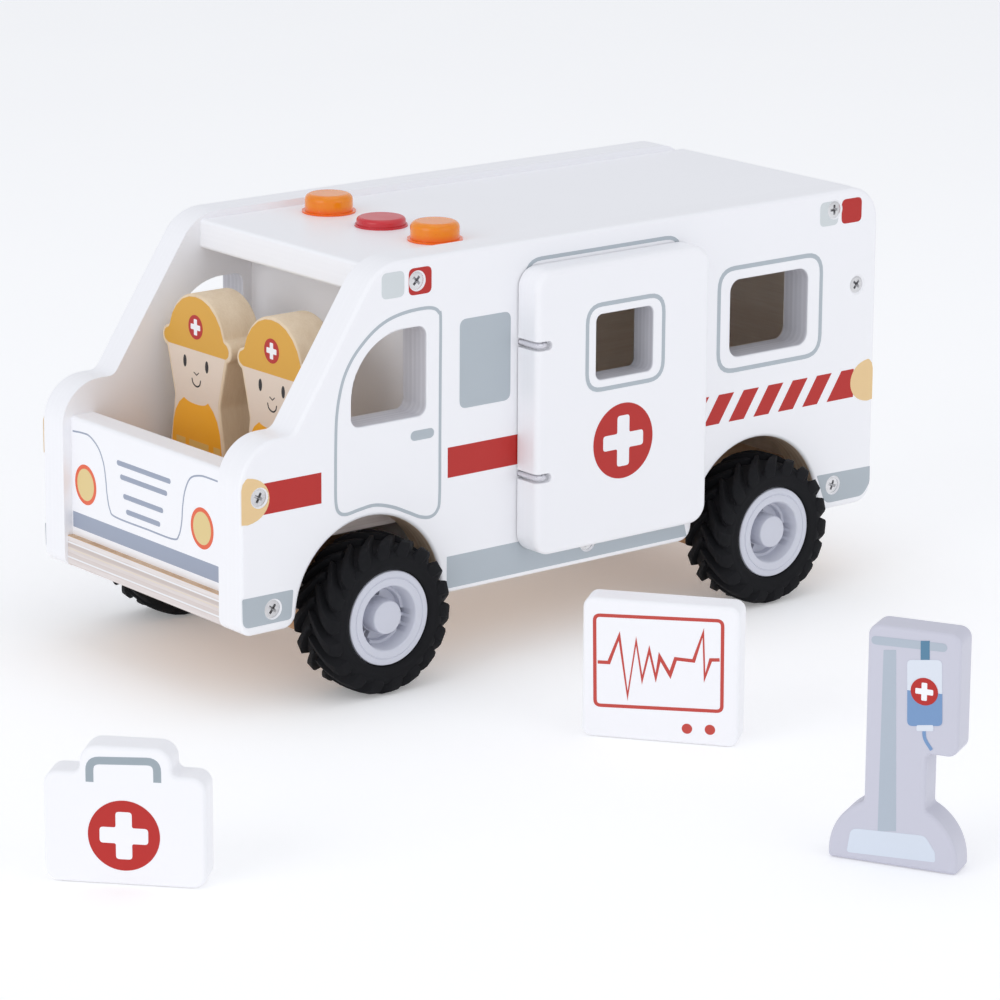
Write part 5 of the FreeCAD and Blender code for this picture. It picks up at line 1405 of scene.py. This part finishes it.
class AMBULANCE_OT_studio(bpy.types.Operator):
    """Camera at the product's viewing angle, pale floor and soft light"""
    bl_idname = "ambulance.studio"
    bl_label = "Studio"

    def execute(self, context):
        scene, s = context.scene, context.scene.ambulance_studio
        data = bpy.data.cameras.new("studio_camera")
        data.lens, data.sensor_width = s.lens, SENSOR_WIDTH
        data.shift_x, data.shift_y = CAMERA_SHIFT
        data.clip_start, data.clip_end = 0.05, 20.0
        camera = bpy.data.objects.new("studio_camera", data)
        turn = Matrix(camera_axes(*CAMERA_ANGLES)).transposed().to_4x4()
        camera.matrix_world = Matrix.Translation(at(*CAMERA_PLACE)) @ turn
        scene.collection.objects.link(camera)
        scene.camera = camera
        bm = bmesh.new()
        bmesh.ops.create_circle(bm, cap_ends=True, segments=64, radius=6.0)
        for vertex in bm.verts:
            vertex.co.z = -0.0002
        new_piece("studio_floor", bm, floor_material(s.glow), None, outward=False)
        world = bpy.data.worlds.new("studio_surround")
        world.use_nodes = True
        surround = world.node_tree.nodes["Background"].inputs
        surround[0].default_value, surround[1].default_value = (0.965, 0.985, 1.03, 1), s.sky
        scene.world = world
        target = at(*LIGHT_TARGET)
        for name, power, size, offset in (("side_light", s.key, 1.1, (1.3, 0.25, 0.55)),
                                          ("front_light", s.front, 2.0, (0.27, -2.52, 0.9)),
                                          ("top_light", s.top, 1.2, (0.1, 0.1, 1.5))):
            light = bpy.data.lights.new(name, "AREA")
            light.energy, light.size, light.shape = power, size, "DISK"
            lamp = bpy.data.objects.new(name, light)
            place = target + Vector(offset)
            aim = (target - place).to_track_quat("-Z", "Y").to_matrix().to_4x4()
            lamp.matrix_world = Matrix.Translation(place) @ aim
            scene.collection.objects.link(lamp)
        scene.view_settings.view_transform = "Standard"
        return {"FINISHED"}


class AMBULANCE_PT_panel(bpy.types.Panel):
    """Lists the steps that dress the toy ambulance"""
    bl_idname = "AMBULANCE_PT_panel"
    bl_label = "Toy Ambulance"
    bl_space_type = "VIEW_3D"
    bl_region_type = "UI"
    bl_category = "Ambulance"

    def draw(self, context):
        for name in SETTINGS:
            box = self.layout.box()
            group = getattr(context.scene, name)
            for key in group.bl_rna.properties.keys():
                if key not in {"rna_type", "name"}:
                    box.prop(group, key)
        for step in STEPS:
            self.layout.operator(step.bl_idname)


SETTINGS = {"ambulance_paint": PaintColours, "ambulance_figures": FigureColours,
            "ambulance_wheels": WheelSizes, "ambulance_studio": StudioSettings}
STEPS = [AMBULANCE_OT_studio, AMBULANCE_OT_finishes, AMBULANCE_OT_tyres, AMBULANCE_OT_hubs,
         AMBULANCE_OT_screws, AMBULANCE_OT_spring, AMBULANCE_OT_side_prints,
         AMBULANCE_OT_hood_prints, AMBULANCE_OT_door_prints, AMBULANCE_OT_door_cords,
         AMBULANCE_OT_figures, AMBULANCE_OT_accessories]


def register():
    for kind in list(SETTINGS.values()) + STEPS + [AMBULANCE_PT_panel]:
        bpy.utils.register_class(kind)
    for name, kind in SETTINGS.items():
        setattr(bpy.types.Scene, name, PointerProperty(type=kind))


def unregister():
    for name in SETTINGS:
        delattr(bpy.types.Scene, name)
    for kind in reversed(list(SETTINGS.values()) + STEPS + [AMBULANCE_PT_panel]):
        bpy.utils.unregister_class(kind)


def main():
    register()
    for step in STEPS:
        getattr(bpy.ops.ambulance, step.bl_idname.split(".")[1])()


if __name__ == "__main__":
    main()
